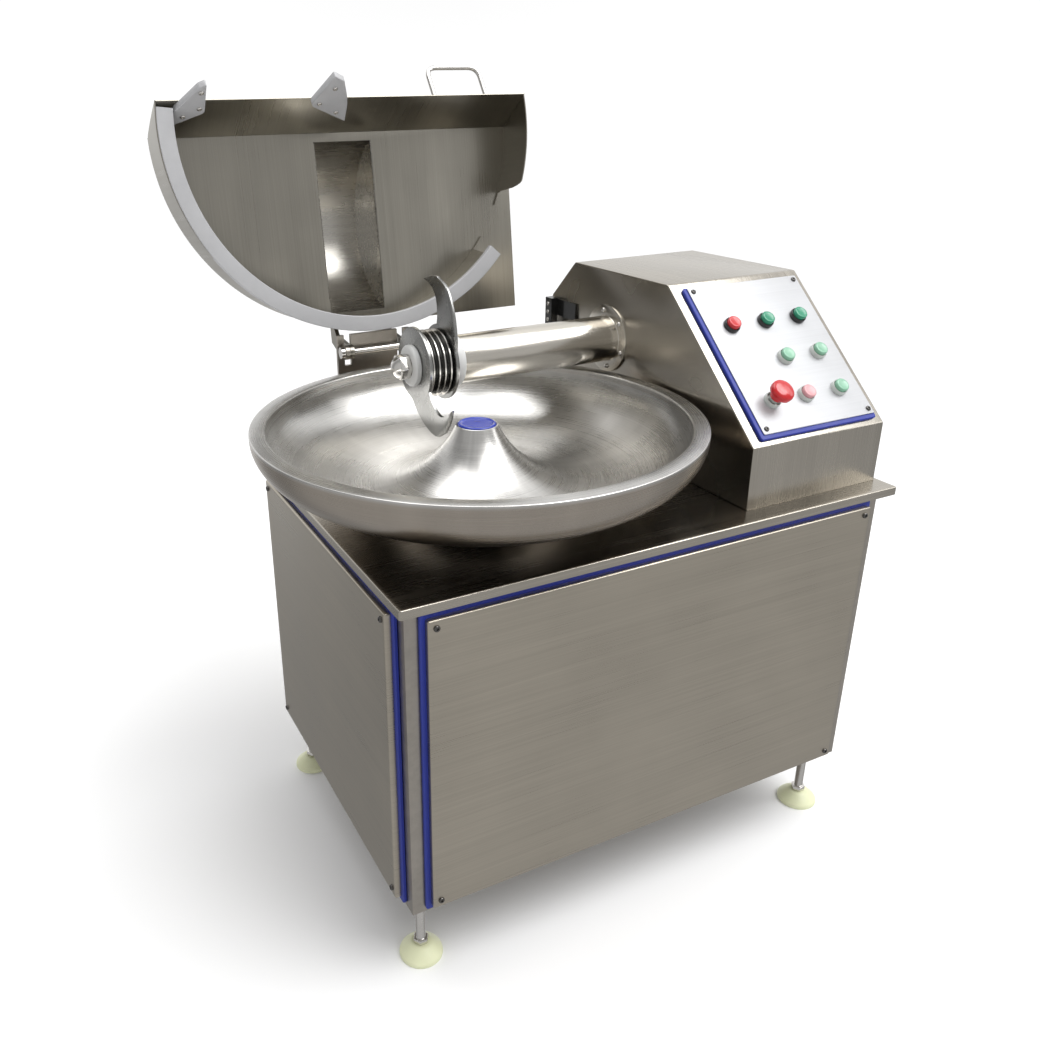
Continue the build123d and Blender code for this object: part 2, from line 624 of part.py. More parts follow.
def estop_head():
    """Mushroom head that is pushed to stop and twisted to release."""
    low = WELL_FLOOR + 12.0
    bore = 4.0 + RUNNING_FIT
    points = ((bore, low), (11.5, low), (11.5, low + 3), (13, low + 10), (20, low + 12), (20, low + 19),
              (17, low + 23), (8, low + 25), (0, low + 25), (0, low + 13.3), (bore, low + 13.3))
    return on_control(*ESTOP) * turned(Polyline(*points, close=True))


def contact_blocks():
    """Switch blocks behind the slope, one to each button."""
    blocks = []
    for column, row in list(BUTTONS.values()) + [ESTOP]:
        blocks.append(on_control(column, row, -41) * Box(28, 42, 38))
    return group(blocks)


def limit_switch():
    """Lid safety switch on the housing's left side, at the rear."""
    plate = box(HOUSING_LEFT - 4, HOUSING_LEFT, 104, 190, 895, 928)
    case = box(HOUSING_LEFT - 19, HOUSING_LEFT - 4, 168, 190, 874, 930)
    return plate + case


# ---------------------------------------------------------------- lid, drawn closed and stored raised
LID_PLACE = Pos(0, HINGE_Y, HINGE_Z) * Rot(-LID_OPEN_DEG, 0, 0) * Pos(0, -HINGE_Y, -HINGE_Z)
GUARD_X0 = -217.0
GUARD_X1 = -99.0
GUARD_RADIUS = 169.0
SEAL_R = 369.0
SEAL_WIDTH = 28.5
SEAL_END_DEG = 42.5
NOTCH_FRONT = -50.0
NOTCH_REAR = 66.0
PIN_R = 7.0
ARM_THICK = 8.0
ARM_XS = (-213.0, -101.0)
EAR_XS = (-222.0, -92.0)
LID_TOP = LID_PLATE_Z + SHEET
SLOPE_UP = math.hypot(LID_SLOPE_RUN, LID_PLATE_Z - LID_EDGE_Z)
LID_SLOPE_PLANE = Plane(
    origin=(0, LID_FRONT_Y, LID_EDGE_Z), x_dir=(1, 0, 0),
    z_dir=(0, -(LID_PLATE_Z - LID_EDGE_Z) / SLOPE_UP, LID_SLOPE_RUN / SLOPE_UP),
)


def lid_block(radius, top, inset):
    """Solid under the lid: the round rear, cut off along the sloping front, inset from the skin."""
    round_part = rod_z(LID_X, BOWL_Y, LID_EDGE_Z + SHEET, top, radius)
    cutter = LID_SLOPE_PLANE.offset(-inset) * Pos(0, 0, 500) * Box(2000, 2000, 1000)
    return round_part - cutter


def lid_shell():
    """Sheet lid: half-round wall, sloping front, flat plate with a square corner, domed knife guard."""
    shell = lid_block(LID_WALL_RADIUS, LID_TOP, 0.0) - lid_block(LID_WALL_RADIUS - SHEET, LID_PLATE_Z, SHEET)
    shell += box(BOWL_X, LID_RIGHT, LID_FRONT_Y + LID_SLOPE_RUN, LID_REAR, LID_PLATE_Z, LID_TOP)
    outer = rod_x(GUARD_X0, GUARD_X1, SHAFT_Y, SHAFT_Z, GUARD_RADIUS)
    inner = rod_x(GUARD_X0 + SHEET, GUARD_X1 - SHEET, SHAFT_Y, SHAFT_Z, GUARD_RADIUS - SHEET)
    under = box(GUARD_X0 - 1, GUARD_X1 + 1, -300, 300, 600, LID_PLATE_Z)
    shell += outer - under
    shell -= inner - under
    notch = sheet_yz(
        Polyline(
            (NOTCH_FRONT, LID_EDGE_Z - 1), (NOTCH_FRONT, LID_PLATE_Z - 24), (NOTCH_FRONT + 20, LID_PLATE_Z),
            (NOTCH_REAR - 20, LID_PLATE_Z), (NOTCH_REAR, LID_PLATE_Z - 24), (NOTCH_REAR, LID_EDGE_Z - 1), close=True,
        ),
        BOWL_X + 200, BOWL_X + 400,
    )
    return LID_PLACE * (shell - notch)


def lid_seal():
    """Nylon strip slotted onto the wall's lower edge; it follows the bowl's lip and rides just over it."""
    ring = rod_z(BOWL_X, BOWL_Y, LID_EDGE_Z, LID_EDGE_Z + 12, SEAL_R)
    ring -= rod_z(BOWL_X, BOWL_Y, LID_EDGE_Z - 1, LID_EDGE_Z + 13, SEAL_R - SEAL_WIDTH)
    slot = rod_z(LID_X, BOWL_Y, LID_EDGE_Z + SHEET, LID_EDGE_Z + 13, LID_WALL_RADIUS)
    slot += box(BOWL_X - 2 * SEAL_R, LID_X - 240, BOWL_Y - SEAL_R, BOWL_Y + SEAL_R, LID_EDGE_Z + SHEET, LID_EDGE_Z + 13)
    slot -= rod_z(LID_X, BOWL_Y, LID_EDGE_Z, LID_EDGE_Z + 14, LID_WALL_RADIUS - SHEET)
    ring -= slot
    reach = 2 * SEAL_R
    end = (BOWL_X + reach * math.cos(math.radians(SEAL_END_DEG)), BOWL_Y + reach * math.sin(math.radians(SEAL_END_DEG)))
    keep = extrude(
        Plane.XY.offset(LID_EDGE_Z - 5)
        * make_face(
            Polyline(
                (BOWL_X, BOWL_Y), end, (BOWL_X, BOWL_Y + reach), (BOWL_X - reach, BOWL_Y + reach),
                (BOWL_X - reach, LID_FRONT_Y + 10), (BOWL_X, LID_FRONT_Y + 10), close=True,
            )
        ),
        amount=30,
    )
    return LID_PLACE * (ring & keep)


def scraper(outline):
    """Nylon plate screwed to the inside of the sloping front, reaching down into the bowl."""
    plane = LID_SLOPE_PLANE.offset(-SHEET - 12)
    return LID_PLACE * extrude(plane * make_face(outline), amount=12)


def wall_scraper():
    """Left scraper, with a slanted edge towards the bowl's outer wall."""
    outline = Polyline((-452, -48), (-440, -56), (-434, 19), (-486, 52), (-487, 14), close=True)
    return scraper(outline)


def cone_scraper():
    """Middle scraper, with one hollow edge that follows the cone."""
    edge = ThreePointArc((-169, 54), (-180, -6), (-200, -60))
    rest = Polyline((-200, -60), (-221, -74), (-246, 1), (-242, 9), (-169, 54))
    return scraper([edge, rest])


def lid_handle():
    """Bent rod handle standing off the sloping front."""
    rise = 70.0
    x0, x1 = 8.0, 118.0
    bend = 16.0
    path = FilletPolyline((x0, 0, 0), (x0, 0, rise), (x1, 0, rise), (x1, 0, 0), radius=bend)
    section = Plane(origin=(x0, 0, 0), z_dir=(0, 0, 1)) * Circle(4.5)
    grip = sweep(section, path=path)
    return LID_PLACE * (LID_SLOPE_PLANE * (Pos(0, 16, 0) * grip))


def lid_arms():
    """Two flat hinge arms welded on the lid's plate and hung on the hinge pin."""
    arms = []
    outline = Polyline(
        (168, LID_TOP), (LID_REAR, LID_TOP), (LID_REAR + 16, LID_TOP - 10), (HINGE_Y - 14, HINGE_Z + 10),
        (HINGE_Y - 14, HINGE_Z), (HINGE_Y + 14, HINGE_Z), (HINGE_Y + 10, LID_TOP - 20),
        (HINGE_Y - 12, LID_TOP + 20), (168, LID_TOP + 20), close=True,
    )
    for x in ARM_XS:
        arm = sheet_yz(outline, x, x + ARM_THICK)
        arm += rod_x(x, x + ARM_THICK, HINGE_Y, HINGE_Z, 14)
        arms.append(LID_PLACE * (arm - rod_x(x - 1, x + ARM_THICK + 1, HINGE_Y, HINGE_Z, PIN_R + RUNNING_FIT)))
    return group(arms)


def hinge_bracket():
    """Standing bracket on the rear of the top plate, with two ears for the pin and slots for the arms."""
    back = box(EAR_XS[0] - 8, EAR_XS[1] + 16, 246, 254, PLATE_TOP, HINGE_Z + 30)
    for x in ARM_XS:
        back -= box(x - 3, x + ARM_THICK + 3, 240, 260, HINGE_Z - 30, HINGE_Z + 60)
    base = box(EAR_XS[0] - 8, EAR_XS[1] + 16, 214, 246, PLATE_TOP, PLATE_TOP + 8)
    part = back + base
    for x in EAR_XS:
        ear = box(x, x + ARM_THICK, HINGE_Y, 250, HINGE_Z - 14, HINGE_Z + 14)
        part += ear + rod_x(x, x + ARM_THICK, HINGE_Y, HINGE_Z, 14)
    return part - rod_x(EAR_XS[0] - 9, EAR_XS[1] + 17, HINGE_Y, HINGE_Z, PIN_R)


def hinge_pin():
    """Hinge pin through both ears, with a head and a nut outside them."""
    left = EAR_XS[0]
    right = EAR_XS[1] + ARM_THICK
    pin = rod_x(left - 8, right + 8, HINGE_Y, HINGE_Z, PIN_R)
    head = rod_x(left - 8, left, HINGE_Y, HINGE_Z, 11)
    nut = Pos(right, HINGE_Y, HINGE_Z) * Rot(0, 90, 0) * extrude(RegularPolygon(12.5, 6), amount=8)
    return pin + head + nut


# ---------------------------------------------------------------- nodes
def build_nodes():
    """Every node's name and shape."""
    nodes = {
        "frame": frame(),
        "bottom_plate": bottom_plate(),
        "top_plate": top_plate(),
        "panel_screws": panel_screws(),
        "foot_stems": foot_stems(),
        "foot_pads": foot_pads(),
        "bowl": bowl(),
        "bowl_cap": bowl_cap(),
        "bowl_spindle": bowl_spindle(),
        "bowl_bearing_housing": bowl_bearing_housing(),
        "bowl_bearings": bowl_bearings(),
        "bowl_gearbox": bowl_gearbox(),
        "bowl_motor": bowl_motor(),
        "shaft_tube": shaft_tube(),
        "tube_collar": tube_collar(),
        "shaft_bearings": shaft_bearings(),
        "knife_shaft": knife_shaft(),
        "upper_knife": blade(UPPER_BLADE_START, 0),
        "lower_knife": blade(LOWER_BLADE_START, LOWER_BLADE_TURN),
        "knife_spacers": knife_spacers(),
        "knife_washer": knife_washer(),
        "knife_nut": knife_nut(),
        "shaft_pulley": shaft_pulley(),
        "motor_pulley": motor_pulley(),
        "knife_motor": knife_motor(),
        "drive_belts": drive_belts(),
        "head_housing": head_housing(),
        "control_gasket": control_gasket(),
        "control_plate": control_plate(),
        "dark_bezels": button_bezels(DARK_BEZELS),
        "clear_bezels": button_bezels([name for name in BUTTONS if name not in DARK_BEZELS]),
        "estop_bezel": on_control(*ESTOP) * bezel(),
        "estop_stem": estop_stem(),
        "estop_head": estop_head(),
        "contact_blocks": contact_blocks(),
        "limit_switch": limit_switch(),
        "lid_shell": lid_shell(),
        "lid_seal": lid_seal(),
        "wall_scraper": wall_scraper(),
        "cone_scraper": cone_scraper(),
        "lid_handle": lid_handle(),
        "lid_arms": lid_arms(),
        "hinge_bracket": hinge_bracket(),
        "hinge_pin": hinge_pin(),
    }
    for side, (place, width) in panel_sides().items():
        nodes[side + "_panel"] = place * panel(width)
        nodes[side + "_gasket"] = place * gasket(width)
    for name, (column, row) in BUTTONS.items():
        nodes[name] = button(column, row)
    return nodes


os.makedirs("parts", exist_ok=True)
for node_name, shape in build_nodes().items():
    export_step(Pos(0, -MIDDLE_Y, 0) * shape, "parts/" + node_name + ".step")
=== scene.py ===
"""A meat bowl cutter, dressed: stainless cabinet, spun bowl, knife head, raised lid and control panel."""
import math

import bmesh
import bpy
import numpy as np
from mathutils import Matrix, Vector
from mathutils.geometry import tessellate_polygon


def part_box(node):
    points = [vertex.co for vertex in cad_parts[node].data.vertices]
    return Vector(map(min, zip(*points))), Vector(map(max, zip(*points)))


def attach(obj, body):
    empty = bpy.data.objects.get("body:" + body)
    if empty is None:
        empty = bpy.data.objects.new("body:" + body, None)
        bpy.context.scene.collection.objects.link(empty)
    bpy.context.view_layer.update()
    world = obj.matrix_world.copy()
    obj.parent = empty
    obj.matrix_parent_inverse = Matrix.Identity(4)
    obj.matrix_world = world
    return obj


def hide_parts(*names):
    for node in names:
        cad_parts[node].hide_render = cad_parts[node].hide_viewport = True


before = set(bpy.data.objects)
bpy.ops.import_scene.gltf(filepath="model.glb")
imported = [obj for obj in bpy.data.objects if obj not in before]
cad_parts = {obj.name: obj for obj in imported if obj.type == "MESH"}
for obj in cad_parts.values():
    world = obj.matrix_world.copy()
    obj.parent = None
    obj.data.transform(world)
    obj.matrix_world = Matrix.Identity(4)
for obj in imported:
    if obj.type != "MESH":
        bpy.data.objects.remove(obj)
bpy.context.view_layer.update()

# ---------------------------------------------------------------- stage, light and camera
# A pale floor, a room that is bright on one side, broad soft lights above and at the sides, and one camera
# at standing height in front of the machine's left corner.
CAMERA_PLACE = (-0.8437, -1.4244, 1.3139)
CAMERA_AZIMUTH = 25.2
CAMERA_DOWN = 22.5
CAMERA_ROLL = -1.1
CAMERA_LENS = 32.97
CAMERA_SENSOR = 36
CAMERA_SHIFT = (0.0866, -0.0290)
LAMP_AIM = (0, 0, 0.8)
SUN_WAY = (-0.36, 0.32, -0.88)
SUN_STRENGTH = 1.7
SUN_SPREAD = math.radians(45)
ROOM_WAY = (0.39, 0.80, 0.45)
ROOM_STRENGTH = 1.2


def area_light(name, place, target, size, power):
    """Rectangular lamp at a place, facing a target."""
    lamp = bpy.data.lights.new(name, "AREA")
    lamp.shape = "RECTANGLE"
    lamp.size, lamp.size_y = size
    lamp.energy = power
    holder = bpy.data.objects.new(name, lamp)
    holder.location = place
    holder.rotation_euler = (Vector(target) - Vector(place)).to_track_quat("-Z", "Y").to_euler()
    bpy.context.scene.collection.objects.link(holder)


azimuth, down, roll = np.radians((CAMERA_AZIMUTH, CAMERA_DOWN, CAMERA_ROLL))
ahead = Vector((math.sin(azimuth) * math.cos(down), math.cos(azimuth) * math.cos(down), -math.sin(down)))
level = Vector((math.cos(azimuth), -math.sin(azimuth), 0))
upward = level.cross(ahead)
right = level * math.cos(roll) + upward * math.sin(roll)
upright = upward * math.cos(roll) - level * math.sin(roll)
camera_data = bpy.data.cameras.new("camera")
camera_data.lens = CAMERA_LENS
camera_data.sensor_width = CAMERA_SENSOR
camera_data.shift_x, camera_data.shift_y = CAMERA_SHIFT
camera = bpy.data.objects.new("camera", camera_data)
turn = Matrix((right, upright, -ahead)).transposed().to_4x4()
camera.matrix_world = Matrix.Translation(CAMERA_PLACE) @ turn
bpy.context.scene.collection.objects.link(camera)
bpy.context.scene.camera = camera

area_light("top", (-0.5, 0.5, 3.6), LAMP_AIM, (2.2, 1.6), 30)
area_light("side", (3.2, -1.4, 2.4), LAMP_AIM, (1.0, 2.2), 15)
area_light("key", (1.2, -1.4, 3.4), (-0.1, 0, 0.8), (2.0, 2.0), 30)
sun = bpy.data.objects.new("overhead", bpy.data.lights.new("overhead", "SUN"))
sun.data.energy = SUN_STRENGTH
sun.data.angle = SUN_SPREAD
sun.rotation_euler = Vector(SUN_WAY).to_track_quat("-Z", "Y").to_euler()
bpy.context.scene.collection.objects.link(sun)

# The room is brightest past the machine's far right corner, above the horizon, and grey elsewhere and below
# it. The steel mirrors this room and not the floor.
world = bpy.data.worlds.new("room")
world.use_nodes = True
sky = world.node_tree
direction = sky.nodes.new("ShaderNodeTexCoord")
toward = sky.nodes.new("ShaderNodeVectorMath")
toward.operation = "DOT_PRODUCT"
toward.inputs[1].default_value = ROOM_WAY
halved = sky.nodes.new("ShaderNodeMath")
halved.operation = "MULTIPLY_ADD"
halved.inputs[1].default_value = 0.5
halved.inputs[2].default_value = 0.5
band = sky.nodes.new("ShaderNodeValToRGB")
stops = band.color_ramp.elements
stops[0].position, stops[0].color = 0.15, (0.46, 0.46, 0.46, 1)
stops[1].position, stops[1].color = 0.97, (0.80, 0.80, 0.80, 1)
for place, grey in ((0.42, 0.42), (0.56, 0.24), (0.68, 0.30), (0.84, 0.88), (0.94, 0.88)):
    stops.new(place).color = (grey, grey, grey, 1)
sky.nodes["Background"].inputs["Strength"].default_value = ROOM_STRENGTH
sky.links.new(direction.outputs["Generated"], toward.inputs[0])
sky.links.new(toward.outputs["Value"], halved.inputs[0])
sky.links.new(halved.outputs["Value"], band.inputs["Fac"])
sky.links.new(band.outputs["Color"], sky.nodes["Background"].inputs["Color"])
bpy.context.scene.world = world
bpy.context.scene.view_settings.view_transform = "Standard"

# ---------------------------------------------------------------- units, materials and surfaces
# Surfaces are drawn in millimetres from the knife shaft's line, and piece() carries them to the stored frame.
MM = 0.001
LINE_Y = sum(corner[1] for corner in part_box("knife_shaft")) / 2
SHIFT = np.array([0.0, LINE_Y, 0.0])
X, Y, Z = np.eye(3)
SHAFT_Z = 882.0
SHAFT_LINE = (0, 0, SHAFT_Z)
WELD = 2e-6                                   # points closer than this, in metres, become one
MIX_SHARE, MIX_ONE, MIX_TWO, MIX_COLOUR = 0, 6, 7, 2   # the Mix node's sockets that blend colours


class Wire:
    """A socket that takes arithmetic: each operator adds one Math node to the material."""

    def __init__(self, finish, socket):
        self.finish = finish
        self.socket = socket

    def maths(self, operation, *others):
        return self.finish.add("ShaderNodeMath", {"operation": operation}, [self, *others])

    def __add__(self, other):
        return self.maths("ADD", other)

    def __mul__(self, other):
        return self.maths("MULTIPLY", other)

    def __pow__(self, other):
        return self.maths("POWER", other)


class Finish:
    """A material under construction, with one Principled shader."""

    def __init__(self, name, **constants):
        self.material = bpy.data.materials.new(name)
        self.material.use_nodes = True
        self.tree = self.material.node_tree
        self.shader = self.tree.nodes["Principled BSDF"]
        for socket, value in constants.items():
            self.shader.inputs[socket.replace("_", " ")].default_value = value

    def add(self, kind, settings, inputs=(), output=0):
        """Add a node: settings first, then its inputs by order or by name, and hand back one output."""
        node = self.tree.nodes.new(kind)
        for key, value in settings.items():
            setattr(node, key, value)
        named = inputs.items() if isinstance(inputs, dict) else enumerate(inputs)
        for key, value in named:
            if isinstance(value, Wire):
                self.tree.links.new(value.socket, node.inputs[key])
            else:
                node.inputs[key].default_value = value
        return Wire(self, node.outputs[output])

    def vector(self, operation, *inputs):
        return self.add("ShaderNodeVectorMath", {"operation": operation}, inputs)

    def gather(self, *parts):
        return self.add("ShaderNodeCombineXYZ", {}, parts)

    def split(self, vector):
        """The three parts of a vector."""
        parts = self.add("ShaderNodeSeparateXYZ", {}, [vector]).socket.node.outputs
        return [Wire(self, part) for part in parts]

    def place(self, scale, centre=(0, 0, 0)):
        """Object coordinates about a centre, scaled."""
        spot = self.add("ShaderNodeTexCoord", {}, (), "Object")
        moved = self.vector("SUBTRACT", spot, centre)
        return self.add("ShaderNodeMapping", {}, {"Vector": moved, "Scale": scale})

    def noise(self, vector, scale, detail=2.0, rough=0.5):
        inputs = {"Vector": vector, "Scale": scale, "Detail": detail, "Roughness": rough}
        return self.add("ShaderNodeTexNoise", {}, inputs)

    def spread(self, value, low, high, to_low=0.0, to_high=1.0):
        """Stretch a value between two ends to another range, clamped."""
        return self.add("ShaderNodeMapRange", {}, [value, low, high, to_low, to_high])

    def mix(self, share, one, two):
        """Blend two colours."""
        inputs = {MIX_SHARE: share, MIX_ONE: one, MIX_TWO: two}
        return self.add("ShaderNodeMix", {"data_type": "RGBA"}, inputs, MIX_COLOUR)

    def feed(self, **sockets):
        """Link values to the shader's sockets."""
        for name, value in sockets.items():
            self.tree.links.new(value.socket, self.shader.inputs[name.replace("_", " ")])

    def bump(self, height, strength, distance):
        return self.add("ShaderNodeBump", {}, {"Height": height, "Strength": strength, "Distance": distance})


def tint(colour, gain=1.0):
    """A colour with full alpha."""
    return (*(min(1.0, part * gain) for part in colour), 1.0)


def brushed_steel(name, colour, grain, rough=0.30, streak=1.0, metal=1.0):
    """Stainless steel with a directional grain: noise drawn out along the brushing, over soft clouds."""
    steel = Finish(name, Metallic=metal)
    fine = steel.noise(steel.place(grain), 1.0, 3.0, 0.65)
    broad = steel.noise(steel.place(tuple(part * 0.11 for part in grain)), 1.0, 2.0)
    clouds = steel.noise(steel.place((1, 1, 1)), 5.0, 3.0)
    lines = steel.spread(fine * 0.7 + broad * 0.3, 0.32, 0.68)
    shade = steel.spread(lines * (0.75 * streak) + clouds, 0.2, 1.3)
    steel.feed(
        Base_Color=steel.mix(shade, tint(colour, 0.84), tint(colour, 1.12)),
        Roughness=steel.spread(lines * 0.4 + clouds * 0.8, 0.2, 1.0, rough - 0.07, rough + 0.09),
        Normal=steel.bump(lines, 0.10 * streak, 0.0002),
    )
    return steel.material


def quads(rows, columns, loop_rows=False, loop_columns=False, start=0):
    """Corner numbers of every quad of a grid of points, joined end to end where it loops."""
    row = np.arange(rows if loop_rows else rows - 1)[:, None]
    column = np.arange(columns if loop_columns else columns - 1)[None, :]
    below, beside = (row + 1) % rows, (column + 1) % columns
    here, there = row * columns, below * columns
    corners = (here + column, here + beside, there + beside, there + column)
    return np.stack(corners, axis=-1).reshape(-1, 4) + start


def joined(*surfaces):
    """Points and faces of several surfaces as one."""
    points, faces, start = [], [], 0
    for part_points, part_faces in surfaces:
        points.append(np.reshape(part_points, (-1, 3)))
        faces += [[int(corner) + start for corner in face] for face in part_faces]
        start += len(points[-1])
    return np.concatenate(points), faces


def piece(name, body, material, surface, replaces=(), crease=34):
    """Make a mesh from points in millimetres, drawn from the knife shaft's line, and fix it to its body."""
    points, faces = surface
    mesh = bpy.data.meshes.new(name)
    corners = [[int(corner) for corner in face] for face in faces]
    mesh.from_pydata(np.reshape(points, (-1, 3)) * MM + SHIFT, [], corners)
    tidy = bmesh.new()
    tidy.from_mesh(mesh)
    bmesh.ops.remove_doubles(tidy, verts=tidy.verts, dist=WELD)
    bmesh.ops.recalc_face_normals(tidy, faces=tidy.faces)
    tidy.to_mesh(mesh)
    tidy.free()
    mesh.shade_smooth()
    mesh.set_sharp_from_angle(angle=math.radians(crease))
    mesh.materials.append(material)
    thing = bpy.data.objects.new(name, mesh)
    bpy.context.scene.collection.objects.link(thing)
    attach(thing, body)
    if replaces:
        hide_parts(*replaces)
    return thing


def pan(place, across, up, out, half_width, half_height, profile, corner=3.0, loop=False, wave=None):
    """Rings round a rectangle with rounded corners, one for each (inset, height) of the profile."""
    inset, height = np.asarray(profile, float).T[:, :, None]
    run = np.linspace(0, 1, 13)[:-1]
    bend = np.linspace(0, math.pi / 2, 5)
    inset = np.minimum(inset, min(half_width, half_height))
    reach = np.maximum(corner - inset, 0.0)
    wide, tall = half_width - inset, half_height - inset
    reach = np.minimum(reach, np.minimum(wide, tall))
    sides = []
    for turn, (one, two) in enumerate(((1, 1), (-1, 1), (-1, -1), (1, -1))):
        angle = bend + turn * math.pi / 2
        x = one * (wide - reach) + reach * np.cos(angle)
        y = two * (tall - reach) + reach * np.sin(angle)
        sides.append(np.stack((x, y), -1))
    ring = []
    for turn in range(4):
        here, there = sides[turn][:, -1:, :], sides[(turn + 1) % 4][:, :1, :]
        ring += [sides[turn], here + (there - here) * run[1:, None]]
    flat = np.concatenate(ring, axis=1)
    lift = height[:, :, None] + np.zeros(flat.shape[:2])[:, :, None]
    if wave is not None:
        lift = lift + wave(flat[..., 0], flat[..., 1], inset)[..., None]
    points = np.asarray(place) + flat[..., :1] * across + flat[..., 1:] * up + lift * out
    return points, quads(*points.shape[:2], loop_rows=loop, loop_columns=True)


WAVES = 4


def buckle(seed, depth):
    """A sheet's slow waves: a few long sines, crossed and summed, that die away at the folded edges."""
    phase = np.random.default_rng(seed).uniform(0, 2 * math.pi, (WAVES, 2))

    def height(across, up, inset):
        waves = 0
        for k in range(WAVES):
            along_across = np.sin(across / (70 + 40 * k) + phase[k, 0])
            waves = waves + along_across * np.sin(up / (90 + 30 * k) + phase[k, 1])
        return depth * waves / WAVES * np.clip(inset / 60, 0, 1) ** 2

    return height


# ---------------------------------------------------------------- cabinet side panels
# Four removable trays of brushed stainless sheet, edges folded back over rubber. The sheet is
# pulled slightly out of true between its corner screws, which bends the reflections.
PANEL_Z = 401.0
PANEL_HALF = 256.0
TRAY_FACE = 16.5
SEAL_MARGIN = 8                               # how far the rubber stands out past its tray
INWARD = 999                                  # an inset that runs to the middle and closes a face
TRAY = [(inset, TRAY_FACE) for inset in (INWARD, 224, 192, 160, 128, 96, 64, 40, 20, 8, 3)]
TRAY += [(1.4, 16.1), (0.4, 15.1), (0, 13.5), (0, 6.6), (2, 6.6), (2, 13.5), (3.4, 14.5), (INWARD, 14.5)]
panel_steel = brushed_steel("panel_steel", (0.46, 0.42, 0.355), (2.2, 2.2, 420), 0.30)
sides = {
    "front": ((43, -435, PANEL_Z), X, -Y, 416.0),
    "left": ((-402, -124, PANEL_Z), -Y, -X, 282.0),
    "right": ((488, -124, PANEL_Z), Y, X, 282.0),
    "rear": ((43, 187, PANEL_Z), -X, Y, 416.0),
}
for number, (side, (place, across, out, half)) in enumerate(sides.items()):
    tray = pan(place, across, Z, out, half, PANEL_HALF, TRAY, 3.0, False, buckle(number + 3, 0.5))
    piece(side + "_tray", "base", panel_steel, tray, [side + "_panel"])

# ---------------------------------------------------------------- panel gaskets
# A flat royal-blue rubber ring behind each tray, compressed by it and showing all round.
RUBBER = [(0.0, 0.8), (0.0, 5.0), (1.5, 6.5), (14.5, 6.5), (16, 5.0), (16, 0.8), (14, 0.0), (1.5, 0.0)]


def plastic(name, colour, rough=0.35, coat=0.0, grain=90.0, depth=0.05, patch=0.08):
    """Moulded plastic or rubber: slight mottling, a fine moulded texture and handling gloss."""
    stuff = Finish(name, Coat_Weight=coat)
    spots = stuff.noise(stuff.place((1, 1, 1)), grain, 4.0)
    clouds = stuff.noise(stuff.place((1, 1, 1)), 14.0, 2.0)
    mottle = stuff.spread(clouds * 0.7 + spots * 0.3, 0.3, 0.7)
    stuff.feed(
        Base_Color=stuff.mix(mottle, tint(colour, 1 - patch), tint(colour, 1 + patch)),
        Roughness=stuff.spread(clouds, 0.3, 0.7, rough - 0.06, rough + 0.08),
        Normal=stuff.bump(spots, depth, 0.0003),
    )
    return stuff.material


blue_rubber = plastic("blue_rubber", (0.007, 0.022, 0.27), 0.42, 0.0, 140.0, 0.12)
for side, (place, across, out, half) in sides.items():
    ring = pan(place, across, Z, out, half + SEAL_MARGIN, PANEL_HALF + SEAL_MARGIN, RUBBER, 4.0, True)
    piece(side + "_seal", "base", blue_rubber, ring, [side + "_gasket"])

# ---------------------------------------------------------------- bowl
# A spun and turned stainless bowl: a channel for the knives round a central cone, a flat lip and a full
# outer wall. Lathe rings run round it, and faces that look down or sideways get a darker colour: painted
# shade.
BOWL = (-150.0, -175.0)


def rounded(outline, radius, steps=5, closed=True):
    """Cut every corner back by a radius and join the cuts with a curve: (1-t)^2 a + 2t(1-t) p + t^2 b."""
    points = np.asarray(outline, float)
    radius = np.broadcast_to(np.asarray(radius, float), len(points))[:, None]
    before, after = np.roll(points, 1, axis=0) - points, np.roll(points, -1, axis=0) - points
    size_before = np.linalg.norm(before, axis=1, keepdims=True) + 1e-9
    size_after = np.linalg.norm(after, axis=1, keepdims=True) + 1e-9
    cut = np.minimum(radius, np.minimum(size_before, size_after) * 0.499)
    one = points + before / size_before * cut
    two = points + after / size_after * cut
    t = np.linspace(0, 1, steps)[None, :, None]
    curve = (1 - t) ** 2 * one[:, None] + 2 * t * (1 - t) * points[:, None] + t ** 2 * two[:, None]
    if closed:
        return curve.reshape(-1, points.shape[1])
    return np.concatenate((points[:1], curve[1:-1].reshape(-1, points.shape[1]), points[-1:]))


def arc(centre, radii, start, end, steps):
    """Points of an ellipse's arc: centre + radii times cosine and sine."""
    angle = np.radians(np.linspace(start, end, steps))
    return np.stack((centre[0] + radii[0] * np.cos(angle), centre[1] + radii[1] * np.sin(angle)), -1)


def turned(profile, place, axis, side, around=96, loop=False):
    """A lathe surface: (radius, along) pairs carried round an axis through a place."""
    profile = np.asarray(profile, float)
    axis, side = np.asarray(axis, float), np.asarray(side, float)
    other = np.cross(axis, side)
    angle = np.linspace(0, 2 * math.pi, around, endpoint=False)[None, :, None]
    rim = np.cos(angle) * side + np.sin(angle) * other
    points = np.asarray(place) + profile[:, None, 1:] * axis + profile[:, None, :1] * rim
    return points, quads(*points.shape[:2], loop_rows=loop, loop_columns=True)


